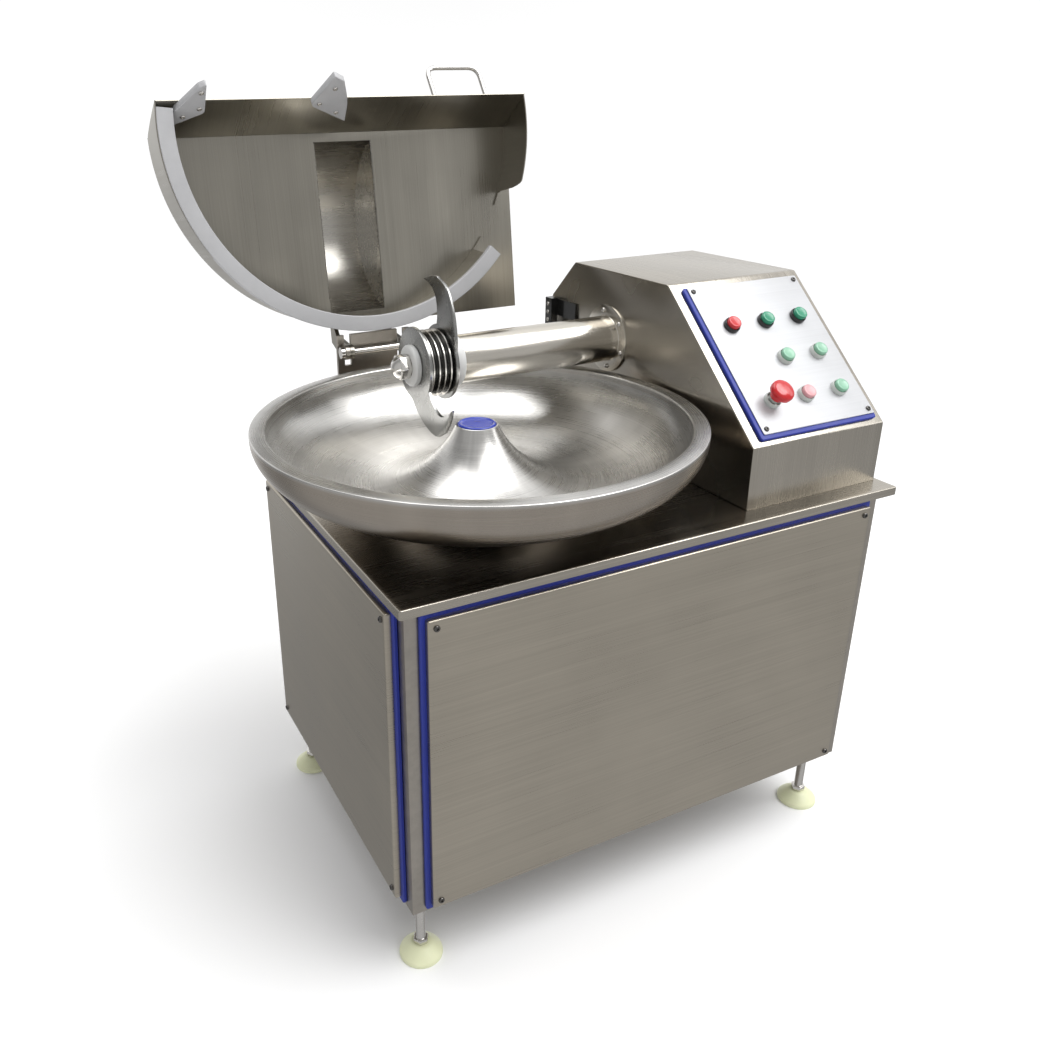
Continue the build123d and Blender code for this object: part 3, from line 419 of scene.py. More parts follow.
def spun_steel(name, colour, centre, rough, rings=520.0, depth=0.12, under=None):
    """Lathe-turned steel: noise read at (distance from the axis, height, slow angle), so it runs in rings.
    Faces that look downwards or sideways may have a second, darker colour: painted shade."""
    steel = Finish(name, Metallic=1.0)
    spot = steel.place((1, 1, 1), centre)
    apart, across, height = steel.split(spot)
    reach = (apart * apart + across * across) ** 0.5
    way = steel.vector("NORMALIZE", steel.gather(apart, across, 0.0))
    slow = steel.vector("MULTIPLY", way, (0.8, 0.8, 0.0))
    ringed = steel.gather(reach * rings, height * rings, 0.0)
    lines = steel.noise(steel.vector("ADD", ringed, slow), 1.0, 2.0, 0.6)
    clouds = steel.noise(spot, 7.0, 3.0)
    streaks = steel.noise(steel.vector("MULTIPLY", way, (9.0, 9.0, 0.0)), 1.0, 2.0)
    shade = steel.spread(lines * 0.45 + clouds * 0.35 + streaks * 0.35, 0.35, 0.8)
    surface = steel.mix(shade, tint(colour, 0.78), tint(colour, 1.14))
    # Painted shade: faces whose normal points barely upward, the outer wall and the lip's inner edge, take
    # the darker colour.
    if under:
        facing = steel.split(steel.add("ShaderNodeNewGeometry", {}, (), "Normal"))[2]
        painted_shade = steel.mix(shade, tint(under, 0.86), tint(under, 1.10))
        surface = steel.mix(steel.spread(facing, 0.0, 0.12), painted_shade, surface)
    steel.feed(
        Base_Color=surface,
        Roughness=steel.spread(lines * 0.5 + clouds * 0.6, 0.25, 0.85, rough - 0.06, rough + 0.08),
        Normal=steel.bump(lines, depth, 0.0003),
    )
    return steel.material


bowl_centre = (BOWL[0] * MM, BOWL[1] * MM + LINE_Y, 0.0)
# The darker colour painted on the bowl's down- and side-facing faces as shade.
BOWL_PAINTED_SHADE = (0.43, 0.385, 0.335)
bowl_steel = spun_steel("bowl_steel", (0.62, 0.61, 0.59), bowl_centre, 0.27, depth=0.22, under=BOWL_PAINTED_SHADE)
bowl_profile = np.concatenate((
    [(0, 804)],
    arc((175, SHAFT_Z), (162, 162), 208.75, 270, 22),
    arc((175, 826), (189, 106), 270, 360, 34),
    arc((362, 831.5), (2, 2.5), 0, 90, 5),
    arc((341, 831.0), (3, 3.0), 90, 180, 5),
    arc((175, 831), (163, 102), 360, 270, 34),
    arc((175, SHAFT_Z), (153, 153), 270, 203.3, 30),
    arc((32.9, 821.2), (0.9, 0.9), 30, 180, 5),
    [(32.0, 815), (0, 815)],
))
lathed_bowl = turned(bowl_profile, (*BOWL, 0), Z, X, 256)
piece("bowl_shell", "bowl", bowl_steel, lathed_bowl, ["bowl"], 50)

# ---------------------------------------------------------------- bowl cap
# A glossy blue plastic plug with a shallow dished face, pushed into the top of the cone.
blue_plastic = plastic("blue_plastic", (0.008, 0.030, 0.33), 0.22, 0.4, 60.0, 0.02, 0.05)
cap_profile = [(0, 815.2), (31.4, 815.2), (31.4, 821.4), (30.6, 823.4), (29.2, 824.3), (27.4, 824.1),
               (26.2, 822.9), (22, 822.4), (10, 822.6), (0, 822.7)]
cap = turned(cap_profile, (*BOWL, 0), Z, X, 96)
piece("blue_cap", "bowl", blue_plastic, cap, ["bowl_cap"], 60)

# ---------------------------------------------------------------- top plate
# One stainless sheet, its edges folded down 15 mm. It overhangs the frame on every side, least at the front
# and on the left, where the side panels stand out past it.
TOP = 680.0
plate_steel = brushed_steel("plate_steel", (0.44, 0.41, 0.36), (2.4, 380, 380), 0.24)
left, right_edge, front, back = -412.0, 523.0, -445.0, 260.0
width, depth = (right_edge - left) / 2, (back - front) / 2
FOLD = [(inset, 0) for inset in (INWARD, 300, 200, 100, 50, 20, 8, 3.2)]
FOLD += [(1.6, -0.35), (0.4, -1.5), (0, -3.2), (0, -14.6), (0.4, -15), (1.6, -15), (2, -14.6), (2, -5),
         (4, -3), (INWARD, -3)]
top_sheet = pan((left + width, front + depth, TOP), X, Y, Z, width, depth, FOLD, 4.0, False, buckle(11, 0.25))
piece("top_sheet", "base", plate_steel, top_sheet, ["top_plate"])

# ---------------------------------------------------------------- knife-head housing
# A welded and folded stainless cover: upright foot, long sloping front, flat top and a chamfered back.
HOLE_EDGE = 0.4


def plate(place, across, up, out, outline, thick, edge=1.0, back_edge=None, holes=()):
    """A flat piece: its outline drawn across and up, stepped back by a rounded edge on both faces, and closed
    with triangles. The step back follows each corner's mitre, (n1 + n2) / (1 + n1.n2)."""
    outline = np.asarray(outline, float)
    loops = [outline, *[np.asarray(hole, float) for hole in holes]]
    back_edge = edge if back_edge is None else back_edge
    surfaces = []
    for number, loop_points in enumerate(loops):
        following = np.roll(loop_points, -1, axis=0)
        run = following - loop_points
        area = np.sum(loop_points[:, 0] * following[:, 1] - following[:, 0] * loop_points[:, 1])
        normal = np.stack((run[:, 1], -run[:, 0]), -1) / (np.linalg.norm(run, axis=1, keepdims=True) + 1e-9)
        normal *= np.sign(area) * (1 if number == 0 else -1)
        before = np.roll(normal, 1, axis=0)
        mitre = (normal + before) / np.maximum(1 + np.sum(normal * before, axis=1, keepdims=True), 0.5)
        near = np.broadcast_to(np.asarray(edge if number == 0 else HOLE_EDGE, float), len(loop_points))
        far = np.broadcast_to(np.asarray(back_edge if number == 0 else HOLE_EDGE, float), len(loop_points))
        near_rise, far_rise = np.minimum(near, thick * 0.45), np.minimum(far, thick * 0.45)
        turns = np.radians((0, 30, 60, 90))
        steps = [(near * (1 - math.sin(t)), near_rise * (1 - math.cos(t))) for t in turns]
        steps += [(far * (1 - math.cos(t)), thick - far_rise * (1 - math.sin(t))) for t in turns]
        inset = np.stack([step[0] for step in steps])
        lift = np.stack([step[1] for step in steps])
        flat = loop_points[None] - mitre[None] * inset[..., None]
        surfaces.append((flat, lift))
    points, faces, start = [], [], 0
    fronts, backs = [], []
    for flat, lift in surfaces:
        spot = np.asarray(place) + flat[..., :1] * across + flat[..., 1:] * up + lift[..., None] * out
        points.append(spot.reshape(-1, 3))
        faces += quads(*spot.shape[:2], loop_columns=True, start=start).tolist()
        fronts.append(np.arange(flat.shape[1]) + start)
        backs.append(np.arange(flat.shape[1]) + start + (len(flat) - 1) * flat.shape[1])
        start += flat.shape[0] * flat.shape[1]
    for layer, corners in ((0, fronts), (-1, backs)):
        loops_3d = [[Vector((*spot, 0)) for spot in flat[layer].tolist()] for flat, lift in surfaces]
        index = np.concatenate(corners)
        faces += [[int(index[corner]) for corner in triangle] for triangle in tessellate_polygon(loops_3d)]
    return np.concatenate(points), faces


housing_steel = brushed_steel("housing_steel", (0.45, 0.42, 0.37), (420, 3.0, 3.0), 0.26)
housing_corners = [(-405, TOP), (-405, 786), (-165, 1008), (117, 1008), (195, 932), (195, TOP)]
housing_outline = rounded(housing_corners, [0.5, 3, 4, 4, 4, 0.5], 5)
cover = plate((224, 0, 0), Y, Z, X, housing_outline, 288, 2.0)
piece("head_cover", "base", housing_steel, cover, ["head_housing"])

# ---------------------------------------------------------------- bearing tube and its flange
# A polished stainless tube carries the knife shaft out over the bowl; its flange is bolted to the cover.
tube_steel = brushed_steel("tube_steel", (0.70, 0.665, 0.60), (2.0, 260, 260), 0.21, streak=0.5)
tube_profile = [(34, -100), (41.7, -100), (42.3, -99.6), (42.5, -99), (42.5, 60), (42.5, 219), (43.2, 219.8),
                (44.4, 220), (62, 220), (62.8, 220.3), (63, 221), (63, 223.9), (34, 223.9)]
tube = turned(tube_profile, SHAFT_LINE, X, Y, 128, True)
piece("bearing_tube", "base", tube_steel, tube, ["shaft_tube"])

# ---------------------------------------------------------------- screws
# Stainless pan-head screws with a hexagon socket, for the flange, the side panels, the control plate, the
# scrapers and the limit switch.
SOCKET_ROWS = slice(5, 7)                     # the rows of a screw head's profile that bound its socket


def screw(place, out, radius, height):
    """A domed screw head with a socket: a lathe profile whose hole has six sides."""
    out = np.asarray(out, float)
    side = np.cross(out, (0.31, 0.87, 0.38))
    side /= np.linalg.norm(side)
    wide, low = radius * 0.42, height * 0.4
    head = [(radius, 0), (radius, height * 0.35), (radius * 0.9, height * 0.75), (radius * 0.66, height),
            (radius * 0.46, height), (wide, height * 0.9), (wide, low), (0, low)]
    points, faces = turned(head, place, out, side, 24)
    ring = points[SOCKET_ROWS]
    middle = ring.mean(axis=1, keepdims=True)
    angle = np.linspace(0, 2 * math.pi, 24, endpoint=False)
    hexagon = np.cos(math.pi / 6) / np.cos((angle + math.pi / 6) % (math.pi / 3) - math.pi / 6)
    points[SOCKET_ROWS] = middle + (ring - middle) * hexagon[None, :, None]
    return points, faces


def screws(name, body, material, places, radius, height, replaces=()):
    """Several screw heads in one mesh, from (place, outward direction) pairs."""
    heads = joined(*[screw(spot, out, radius, height) for spot, out in places])
    return piece(name, body, material, heads, replaces, 40)


bright_steel = brushed_steel("bright_steel", (0.72, 0.70, 0.67), (300, 300, 300), 0.18, streak=0.4)
dark_steel = brushed_steel("screw_steel", (0.13, 0.125, 0.12), (300, 300, 300), 0.24, streak=0.4)
turn_of_flange = np.radians(np.arange(6) * 60 + 20)
screws("flange_screws", "base", bright_steel,
       [((220, 53 * math.cos(a), SHAFT_Z + 53 * math.sin(a)), -X) for a in turn_of_flange], 4.5, 3.4)
SCREW_INSET = 13
panel_places = []
for side, (place, across, out, half) in sides.items():
    for one in (-1, 1):
        for two in (-1, 1):
            corner = across * one * (half - SCREW_INSET) + Z * two * (PANEL_HALF - SCREW_INSET)
            panel_places.append((np.array(place, float) + corner + out * (TRAY_FACE - 0.1), out))
terminal_places = [((205, 179, z), -X) for z in (886, 902, 918)]
screws("switch_terminals", "base", bright_steel, terminal_places, 4.0, 2.6)
screws("tray_screws", "base", dark_steel, panel_places, 5.0, 3.2, ["panel_screws"])

# ---------------------------------------------------------------- seal collar
# A white nylon collar on the open end of the tube, where the shaft comes out.
nylon = plastic("white_nylon", (0.68, 0.68, 0.67), 0.40, 0.1, 70.0, 0.05, 0.05)
collar_profile = [(21, -120), (42.5, -120), (45.1, -119), (46, -117), (46, -102), (45.1, -100.4),
                  (43.5, -100), (34, -100), (34, -101), (21, -101)]
collar = turned(collar_profile, SHAFT_LINE, X, Y, 96, True)
piece("nylon_collar", "base", nylon, collar, ["tube_collar"])

# ---------------------------------------------------------------- knives
# Two ground tool-steel sickles, one up and one down, each with a round eye clamped on the shaft and a long
# bevel along its outer, cutting edge.
KNIFE = 149.0
blade_steel = brushed_steel("blade_steel", (0.34, 0.34, 0.33), (300, 60, 60), 0.24, streak=0.8)


def along(points, steps):
    """A smooth curve through points: a Catmull-Rom spline, sampled at even parameter steps."""
    points = np.asarray(points, float)
    padded = np.concatenate((2 * points[:1] - points[1:2], points, 2 * points[-1:] - points[-2:-1]))
    t = np.linspace(0, len(points) - 1 - 1e-9, steps)
    base = t.astype(int)
    t = (t - base)[:, None]
    a, b, c, d = (padded[base + k] for k in range(4))
    square, cube = 2 * a - 5 * b + 4 * c - d, 3 * b - a - 3 * c + d
    return 0.5 * (2 * b + (c - a) * t + square * t ** 2 + cube * t ** 3)


def polar(pairs):
    """Flat points from (angle, radius) pairs."""
    pairs = np.asarray(pairs, float)
    angle, reach = np.radians(pairs[:, 0]), pairs[:, 1]
    return np.stack((reach * np.cos(angle), reach * np.sin(angle)), -1)


cutting = along(polar([(152, 66), (136, 81), (117, 107), (101, 134), (86, KNIFE - 2)]), 44)
tip = along(polar([(86, KNIFE - 2), (75, KNIFE), (65, KNIFE)]), 9)[1:]
hook = along(polar([(65, KNIFE), (72, 138), (80, 122), (84, 104), (84, 82), (80, 66)]), 34)[1:]
eye = polar([(angle, 66.0) for angle in np.linspace(80, -208, 72)])[1:-1]
sickle = np.concatenate((cutting, tip, hook, eye))[::-1]
blunt = np.full(len(eye) + len(hook), 0.5)
ground = np.concatenate((blunt, np.full(len(tip), 4.0), np.full(len(cutting), 7.0)))
ground = np.convolve(np.pad(ground, 4, mode="wrap"), np.ones(9) / 9, mode="valid")
bore = polar([(angle, 20.3) for angle in np.linspace(0, 360, 40, endpoint=False)])
for name, start, swing in (("upper", -130, 0.0), ("lower", -180, math.radians(132))):
    across, up = Y * math.cos(swing) + Z * math.sin(swing), Z * math.cos(swing) - Y * math.sin(swing)
    knife = plate((start, 0, SHAFT_Z), across, up, X, sickle, 6.0, ground, 0.5, [bore])
    piece(name + "_sickle", "knives", blade_steel, knife, [name + "_knife"], 20)

# ---------------------------------------------------------------- spacer discs, washer, shaft and nut
# Relieved steel discs space the knives apart; a nylon washer and a polished hexagon nut clamp the stack
# against the shaft's shoulder.
# The spacer discs' steel is coloured near black: painted shade for the gaps between the knives, beside bright
# steel rims.
shaded_disc_steel = spun_steel("shaded_disc_steel", (0.05, 0.05, 0.048), (0, LINE_Y, SHAFT_Z * MM), 0.26, 200.0, 0.05)
DISC_PITCH = 11.0
discs, bands = [], []
for number in range(4):
    start = -174 + number * DISC_PITCH
    end = start + DISC_PITCH
    disc = [(20.2, start + 0.02), (53, start + 0.02), (54, start + 1), (54, end - 1), (53, end - 0.02),
            (20.2, end - 0.02)]
    band = [(52, start + 4.2), (58.4, start + 4.2), (59, start + 4.8), (59, start + 6.2), (58.4, start + 6.8),
            (52, start + 6.8)]
    discs.append(turned(disc, SHAFT_LINE, X, Y, 96, True))
    bands.append(turned(band, SHAFT_LINE, X, Y, 96, True))
piece("spacer_discs", "knives", shaded_disc_steel, joined(*discs), ["knife_spacers"], 30)
piece("spacer_rims", "knives", bright_steel, joined(*bands), ["knife_spacers"], 30)
washer_profile = [(20.2, -192), (30, -192), (34, -191), (35.8, -189), (36, -187), (36, -182), (35, -180.6),
                  (33, -180.02), (20.2, -180.02)]
washer = turned(washer_profile, SHAFT_LINE, X, Y, 72, True)
piece("nylon_washer", "knives", nylon, washer, ["knife_washer"])
nut_ring = rounded(polar([(angle, 23.0) for angle in range(0, 360, 60)]), 3, 4)
nut_body = plate((-212, 0, SHAFT_Z), Y, Z, X, nut_ring, 20, 1.8)
crown_profile = [(0, -222), (5, -221.7), (9, -220.6), (13, -218.4), (16.5, -215), (18.8, -211.6),
                 (18.8, -210), (0, -210)]
crown = turned(crown_profile, SHAFT_LINE, X, Y, 64)
chrome_nut = brushed_steel("nut_steel", (0.78, 0.76, 0.73), (200, 200, 200), 0.12, streak=0.3)
piece("clamp_nut", "knives", chrome_nut, joined(nut_body, crown), ["knife_nut"])

# ---------------------------------------------------------------- lid
# Folded and welded from 2 mm stainless: a half-round wall, a sloping front, a flat top with one square corner
# and a domed guard over the knives. It is drawn closed and raised on its hinge.
HINGE = (231.0, 858.0)
RAISED = math.radians(-98)
EDGE_Z, SHEET_Z = 836.0, 929.5
FRONT_Y, RUN = -227.0, 49.0
LID_X, WALL = -161.0, 360.0
LID_RIGHT, LID_REAR = 203, 187
SHEET = 2.0
SLOPE = math.hypot(RUN, SHEET_Z - EDGE_Z)


def raise_lid(surface):
    """Turn a surface drawn on the closed lid about the hinge pin to where the lid is stored."""
    points, faces = surface
    points = np.array(points, float).reshape(-1, 3)
    y, z = points[:, 1] - HINGE[0], points[:, 2] - HINGE[1]
    points[:, 1] = HINGE[0] + y * math.cos(RAISED) - z * math.sin(RAISED)
    points[:, 2] = HINGE[1] + y * math.sin(RAISED) + z * math.cos(RAISED)
    return points, faces


def wall_angle(behind):
    """The angle at which the round wall lies so far behind the bowl's centre."""
    return math.degrees(math.asin(behind / WALL))


def under_slope(y):
    """Height of the sloping front at each place, or of the top sheet behind it."""
    return np.minimum(SHEET_Z, EDGE_Z + 1.5 + (y - FRONT_Y) * (SHEET_Z - EDGE_Z) / RUN)


def notch_rise(angle, y):
    """The lower edge, swept up into the notch for the bearing tube by a quarter ellipse."""
    near = np.where(y > 8, np.clip((y - 66) / 16, 0, 1), np.clip((-50 - y) / 16, 0, 1))
    near = np.where(angle > 90, 1.0, near)
    return EDGE_Z + 2 + (SHEET_Z - EDGE_Z - 6) * (1 - np.sqrt(1 - (1 - near) ** 2))


def sheet_wall(start, end, steps):
    """A curved wall: arcs of two radii about the lid's centre, from its lower edge up to the other sheets."""
    angle = np.linspace(start, end, steps)
    y = BOWL[1] + WALL * np.sin(np.radians(angle))
    bottom, top = notch_rise(angle, y), under_slope(y)
    height = bottom + (top - bottom) * np.linspace(0, 1, 6)[:, None]
    layers = []
    for radius in (WALL, WALL - SHEET):
        x = LID_X + radius * np.cos(np.radians(angle)) + 0 * height
        y = BOWL[1] + radius * np.sin(np.radians(angle)) + 0 * height
        layers.append(np.stack((x, y, height), -1))
    points = np.concatenate((layers[0], layers[1][::-1]))
    rows, columns = points.shape[:2]
    caps = []
    for column in (0, columns - 1):
        edge = (np.arange(rows) * columns + column).tolist()
        caps += [[edge[k], edge[k + 1], edge[rows - 2 - k], edge[rows - 1 - k]] for k in range(rows // 2 - 1)]
    return points.reshape(-1, 3), quads(rows, columns, loop_rows=True).tolist() + caps


lid_steel = brushed_steel("lid_steel", (0.33, 0.312, 0.272), (420, 2.5, 2.5), 0.30)
end_angle = wall_angle(-52)
rear_wall = sheet_wall(wall_angle(213), 180 - end_angle, 150)
front_wall = sheet_wall(end_angle, wall_angle(151), 60)
rear_arc = arc((LID_X, BOWL[1]), (WALL, WALL), 90, 180 - wall_angle(-3), 70)
top_outline = np.concatenate(([(LID_RIGHT, -178), (LID_RIGHT, LID_REAR), (LID_X, LID_REAR)], rear_arc))
opening = [(-215, -160), (-101, -160), (-101, 160), (-215, 160)]
top_flat = plate((0, 0, SHEET_Z), X, Y, Z, top_outline, SHEET, 0.5, None, [opening])
slope_foot = np.array((0, FRONT_Y, EDGE_Z))
slope_up = np.array((0, RUN, SHEET_Z - EDGE_Z)) / SLOPE
slope_out = np.array((0, -slope_up[2], slope_up[1]))
front_outline = [(-516, 0), (195, 0), (LID_RIGHT, SLOPE), (-520, SLOPE)]
front_flat = plate(slope_foot - slope_out * SHEET, X, slope_up, slope_out, front_outline, SHEET, 0.6)
lid_sheets = joined(rear_wall, front_wall, top_flat, front_flat)
piece("lid_sheets", "lid", lid_steel, raise_lid(lid_sheets), ["lid_shell"], 30)

GUARD = 169.0
GUARD_LEFT, GUARD_RIGHT = -217, -99
DOME_STEPS = 60
half_swing = math.acos((SHEET_Z - SHAFT_Z) / GUARD)
swing = np.linspace(-half_swing, half_swing, DOME_STEPS)
inside = GUARD - SHEET
dome = []
dome_lines = [(GUARD, GUARD_LEFT), (GUARD, GUARD_RIGHT), (inside, GUARD_RIGHT - SHEET),
              (inside, GUARD_LEFT + SHEET)]
for radius, x in dome_lines:
    y, z = radius * np.sin(swing), SHAFT_Z + radius * np.cos(swing)
    dome.append(np.stack((np.full(DOME_STEPS, x), y, z), -1))
dome_faces = quads(len(dome), DOME_STEPS, loop_rows=True)
segment = np.stack((GUARD * np.sin(swing), GUARD * np.cos(swing)), -1)
cheeks = [plate((x, 0, SHAFT_Z), Y, Z, X, segment, SHEET, 0.3) for x in (GUARD_LEFT, GUARD_RIGHT - SHEET)]
guard_steel = brushed_steel("guard_steel", (0.52, 0.50, 0.46), (8, 90, 90), 0.26)
guard = joined((dome, dome_faces), *cheeks)
piece("knife_guard", "lid", guard_steel, raise_lid(guard), ["lid_shell"], 30)

# ---------------------------------------------------------------- lid seal
# A white nylon strip that follows the bowl's lip, slotted onto the wall's lower edge.
# A darker grey copy of the white nylon for the lid's strip and scrapers: painted shade, as they face away
# from the light.
shaded_nylon = plastic("shaded_nylon", (0.43, 0.43, 0.44), 0.40, 0.1, 70.0, 0.05, 0.05)
SEAL_IN, SEAL_OUT, SEAL_TOP = 340.5, 369.0, 848.0
SEAL = rounded([(SEAL_IN, EDGE_Z), (SEAL_OUT, EDGE_Z), (SEAL_OUT, SEAL_TOP), (SEAL_IN, SEAL_TOP)], 1.8, 5)


def swept_ring(profile, start, end, steps):
    """A (radius, height) profile carried round the bowl's axis, closed at both ends."""
    angle = np.radians(np.linspace(start, end, steps))[None, :, None]
    profile = np.asarray(profile, float)[:, None, :]
    reach, height = profile[..., :1], profile[..., 1:] + 0 * angle
    points = np.concatenate((BOWL[0] + reach * np.cos(angle), BOWL[1] + reach * np.sin(angle), height), -1)
    rows, columns = points.shape[:2]
    ends = []
    for column in (0, columns - 1):
        index = np.arange(rows) * columns + column
        flat = [Vector((*spot, 0)) for spot in profile[:, 0].tolist()]
        ends += [[int(index[corner]) for corner in triangle] for triangle in tessellate_polygon([flat])]
    return points.reshape(-1, 3), quads(rows, columns, loop_rows=True).tolist() + ends


strip = swept_ring(SEAL, 42.5, 180 + math.degrees(math.asin(42 / SEAL_OUT)), 160)
piece("seal_strip", "lid", shaded_nylon, raise_lid(strip), ["lid_seal"], 40)

# ---------------------------------------------------------------- scrapers
# Two thick nylon plates, each screwed to the inside of the sloping front by three screws; their free edges
# follow the bowl's wall and its cone.
SCRAPER = 12.0
scraper_base = slope_foot - slope_out * (SCRAPER + SHEET)
wall_edge = rounded([(-452, -48), (-440, -56), (-434, 19), (-486, 52), (-487, 14)], [3, 4, 6, 3, 3], 6)
cone_side = along([(-169, 54), (-180, -6), (-200, -60)], 20)
cone_back = rounded([(-200, -60), (-221, -74), (-246, 1), (-242, 9), (-169, 54)], [0.1, 4, 3, 3, 3], 6)
cone_edge = np.concatenate((cone_side, cone_back[6:-3]))    # without the corners that the two share
SCRAPERS = (
    ("wall", wall_edge, [(-447, -36), (-445, 6), (-471, 27)]),
    ("cone", cone_edge, [(-213, -42), (-232, -1), (-194, 25)]),
)
for name, outline, spots in SCRAPERS:
    board = plate(scraper_base, X, slope_up, slope_out, outline, SCRAPER, 1.6)
    piece(name + "_blade", "lid", shaded_nylon, raise_lid(board), [name + "_scraper"], 40)
    heads = [screw(scraper_base + X * x + slope_up * up, -slope_out, 4.6, 2.8) for x, up in spots]
    piece(name + "_scraper_screws", "lid", bright_steel, raise_lid(joined(*heads)), (), 40)

# ---------------------------------------------------------------- lid handle
# A bent stainless rod welded on the outside of the sloping front, with a weld bead at each foot.
ROD_SIDES = 20


def rod(path, radius):
    """A round rod along a flat path: circles set across the path's own direction."""
    path = np.asarray(path, float)
    ahead_of = np.gradient(path, axis=0)
    ahead_of /= np.linalg.norm(ahead_of, axis=1, keepdims=True)
    flat_normal = np.cross(path[1] - path[0], path[len(path) // 2] - path[0])
    flat_normal /= np.linalg.norm(flat_normal)
    side = np.cross(ahead_of, flat_normal)
    angle = np.linspace(0, 2 * math.pi, ROD_SIDES, endpoint=False)[None, :, None]
    radius = np.broadcast_to(np.asarray(radius, float), len(path))[:, None, None]
    points = path[:, None] + radius * (np.cos(angle) * side[:, None] + np.sin(angle) * flat_normal)
    faces = quads(*points.shape[:2], loop_columns=True).tolist()
    last = (len(path) - 1) * ROD_SIDES
    return points.reshape(-1, 3), faces + [list(range(ROD_SIDES)), list(range(last, last + ROD_SIDES))]


HANDLE_LEFT, HANDLE_RIGHT, HANDLE_OUT = 8, 118, 70
foot = slope_foot + slope_up * 16
bend_corners = [(HANDLE_LEFT, 0), (HANDLE_LEFT, HANDLE_OUT), (HANDLE_RIGHT, HANDLE_OUT), (HANDLE_RIGHT, 0)]
bends = rounded(bend_corners, 22, 12, False)
grip = rod(foot + bends[:, :1] * X + bends[:, 1:] * slope_out, 4.5)
BEAD = [(0, 0), (9, 0), (8, 1.6), (6, 3.4), (4.6, 6), (4.4, 7)]
beads = [turned(BEAD, foot + X * x, slope_out, X, 24) for x in (HANDLE_LEFT, HANDLE_RIGHT)]
handle = joined(grip, *beads)
piece("bent_handle", "lid", bright_steel, raise_lid(handle), ["lid_handle"], 40)

# ---------------------------------------------------------------- control panel
# A near-white satin plate screwed to the sloping front at its four corners, on a royal-blue gasket that
# stands out on the left and below.
CONTROL_RUN, CONTROL_RISE = 240, 222
CONTROL_LENGTH = math.hypot(CONTROL_RUN, CONTROL_RISE)
CONTROL_UP = np.array((0, CONTROL_RUN, CONTROL_RISE)) / CONTROL_LENGTH
CONTROL_OUT = np.array((0, -CONTROL_RISE, CONTROL_RUN)) / CONTROL_LENGTH
CONTROL_FOOT = np.array((0, -405, 786.0))
SATIN = (0.53, 0.535, 0.55)
control_white = brushed_steel("control_satin", SATIN, (2.0, 300, 300), 0.42, streak=0.5, metal=0.25)
GASKET = [(18, 0.05), (1, 0.05), (0, 1), (0, 4.6), (1.2, 5.8), (18, 5.9)]
gasket_middle = CONTROL_FOOT + X * 370 + CONTROL_UP * 161
blue_edge = pan(gasket_middle, X, CONTROL_UP, CONTROL_OUT, 127, 151, GASKET, 5, True)
piece("control_seal", "base", blue_rubber, blue_edge, ["control_gasket"])
face_outline = rounded([(251, 18), (495, 18), (495, 310), (251, 310)], 3, 5)
face = plate(CONTROL_FOOT + CONTROL_OUT * 6, X, CONTROL_UP, CONTROL_OUT, face_outline, 2.0, 0.6)
piece("control_face", "base", control_white, face, ["control_plate"])
control_places = []
for x in (260, 486):
    for up in (27, 301):
        control_places.append((CONTROL_FOOT + X * x + CONTROL_UP * up + CONTROL_OUT * 7.9, CONTROL_OUT))
screws("control_screws", "base", dark_steel, control_places, 4.5, 3.0)

# ---------------------------------------------------------------- push buttons
# Standard 22 mm buttons: a bezel ring with a well and a round-edged, lightly dished cap in each, and one
# mushroom head.
COLUMNS, ROWS = (299.0, 373.0, 447.0), (224.0, 149.0, 74.0)
black = plastic("black_plastic", (0.012, 0.012, 0.012), 0.25, 0.3, 80.0, 0.02)
clear = plastic("clear_plastic", (0.50, 0.53, 0.50), 0.22, 0.5, 60.0, 0.02)
GREEN = ("green_plastic", (0.003, 0.23, 0.12))
PALE = ("pale_green_plastic", (0.20, 0.43, 0.29))
BUTTONS = {
    "stop_button_red": (0, 0, "red_plastic", (0.52, 0.01, 0.015)),
    "start_button_green": (1, 0, *GREEN),
    "run_button_green": (2, 0, *GREEN),
    "jog_button_pale": (1, 1, *PALE),
    "bowl_button_pale": (2, 1, *PALE),
    "reset_button_pink": (1, 2, "pink_plastic", (0.62, 0.30, 0.32)),
    "speed_button_pale": (2, 2, *PALE),
}
RING = [(6.4, 8.02), (14.5, 8.02), (14.5, 13), (14.2, 14.4), (13.4, 15.7), (12.9, 16), (12.5, 15.6),
        (12.4, 14.6), (12.4, 9.05), (6.4, 9.05)]
CAP = [(0, 13.6), (11.6, 13.6), (12, 14.1), (12, 20.2), (11.7, 21.3), (10.8, 22.1), (9.6, 22.5), (8.2, 22.4),
       (7, 22.1), (4, 21.9), (0, 21.85)]
rings = {"dark": [], "clear": []}
for name, (column, row, slot, colour) in BUTTONS.items():
    centre = CONTROL_FOOT + X * COLUMNS[column] + CONTROL_UP * ROWS[row]
    rings["dark" if row == 0 else "clear"].append(turned(RING, centre, CONTROL_OUT, X, 48, True))
    shine = plastic(name + "_colour", colour, 0.24, 0.5, 60.0, 0.02, 0.06)
    piece(name + "_cap", name + "_cap", shine, turned(CAP, centre, CONTROL_OUT, X, 48), [name], 50)
stop_centre = CONTROL_FOOT + X * COLUMNS[0] + CONTROL_UP * ROWS[2]
piece("black_bezels", "base", black, joined(*rings["dark"]), ["dark_bezels"], 40)
piece("pale_bezels", "base", clear, joined(*rings["clear"]), ["clear_bezels"], 40)
stop_ring = turned(RING, stop_centre, CONTROL_OUT, X, 48, True)
piece("stop_bezel", "base", clear, stop_ring, ["estop_bezel"], 40)
red = plastic("stop_red", (0.50, 0.008, 0.012), 0.26, 0.5, 60.0, 0.02, 0.06)
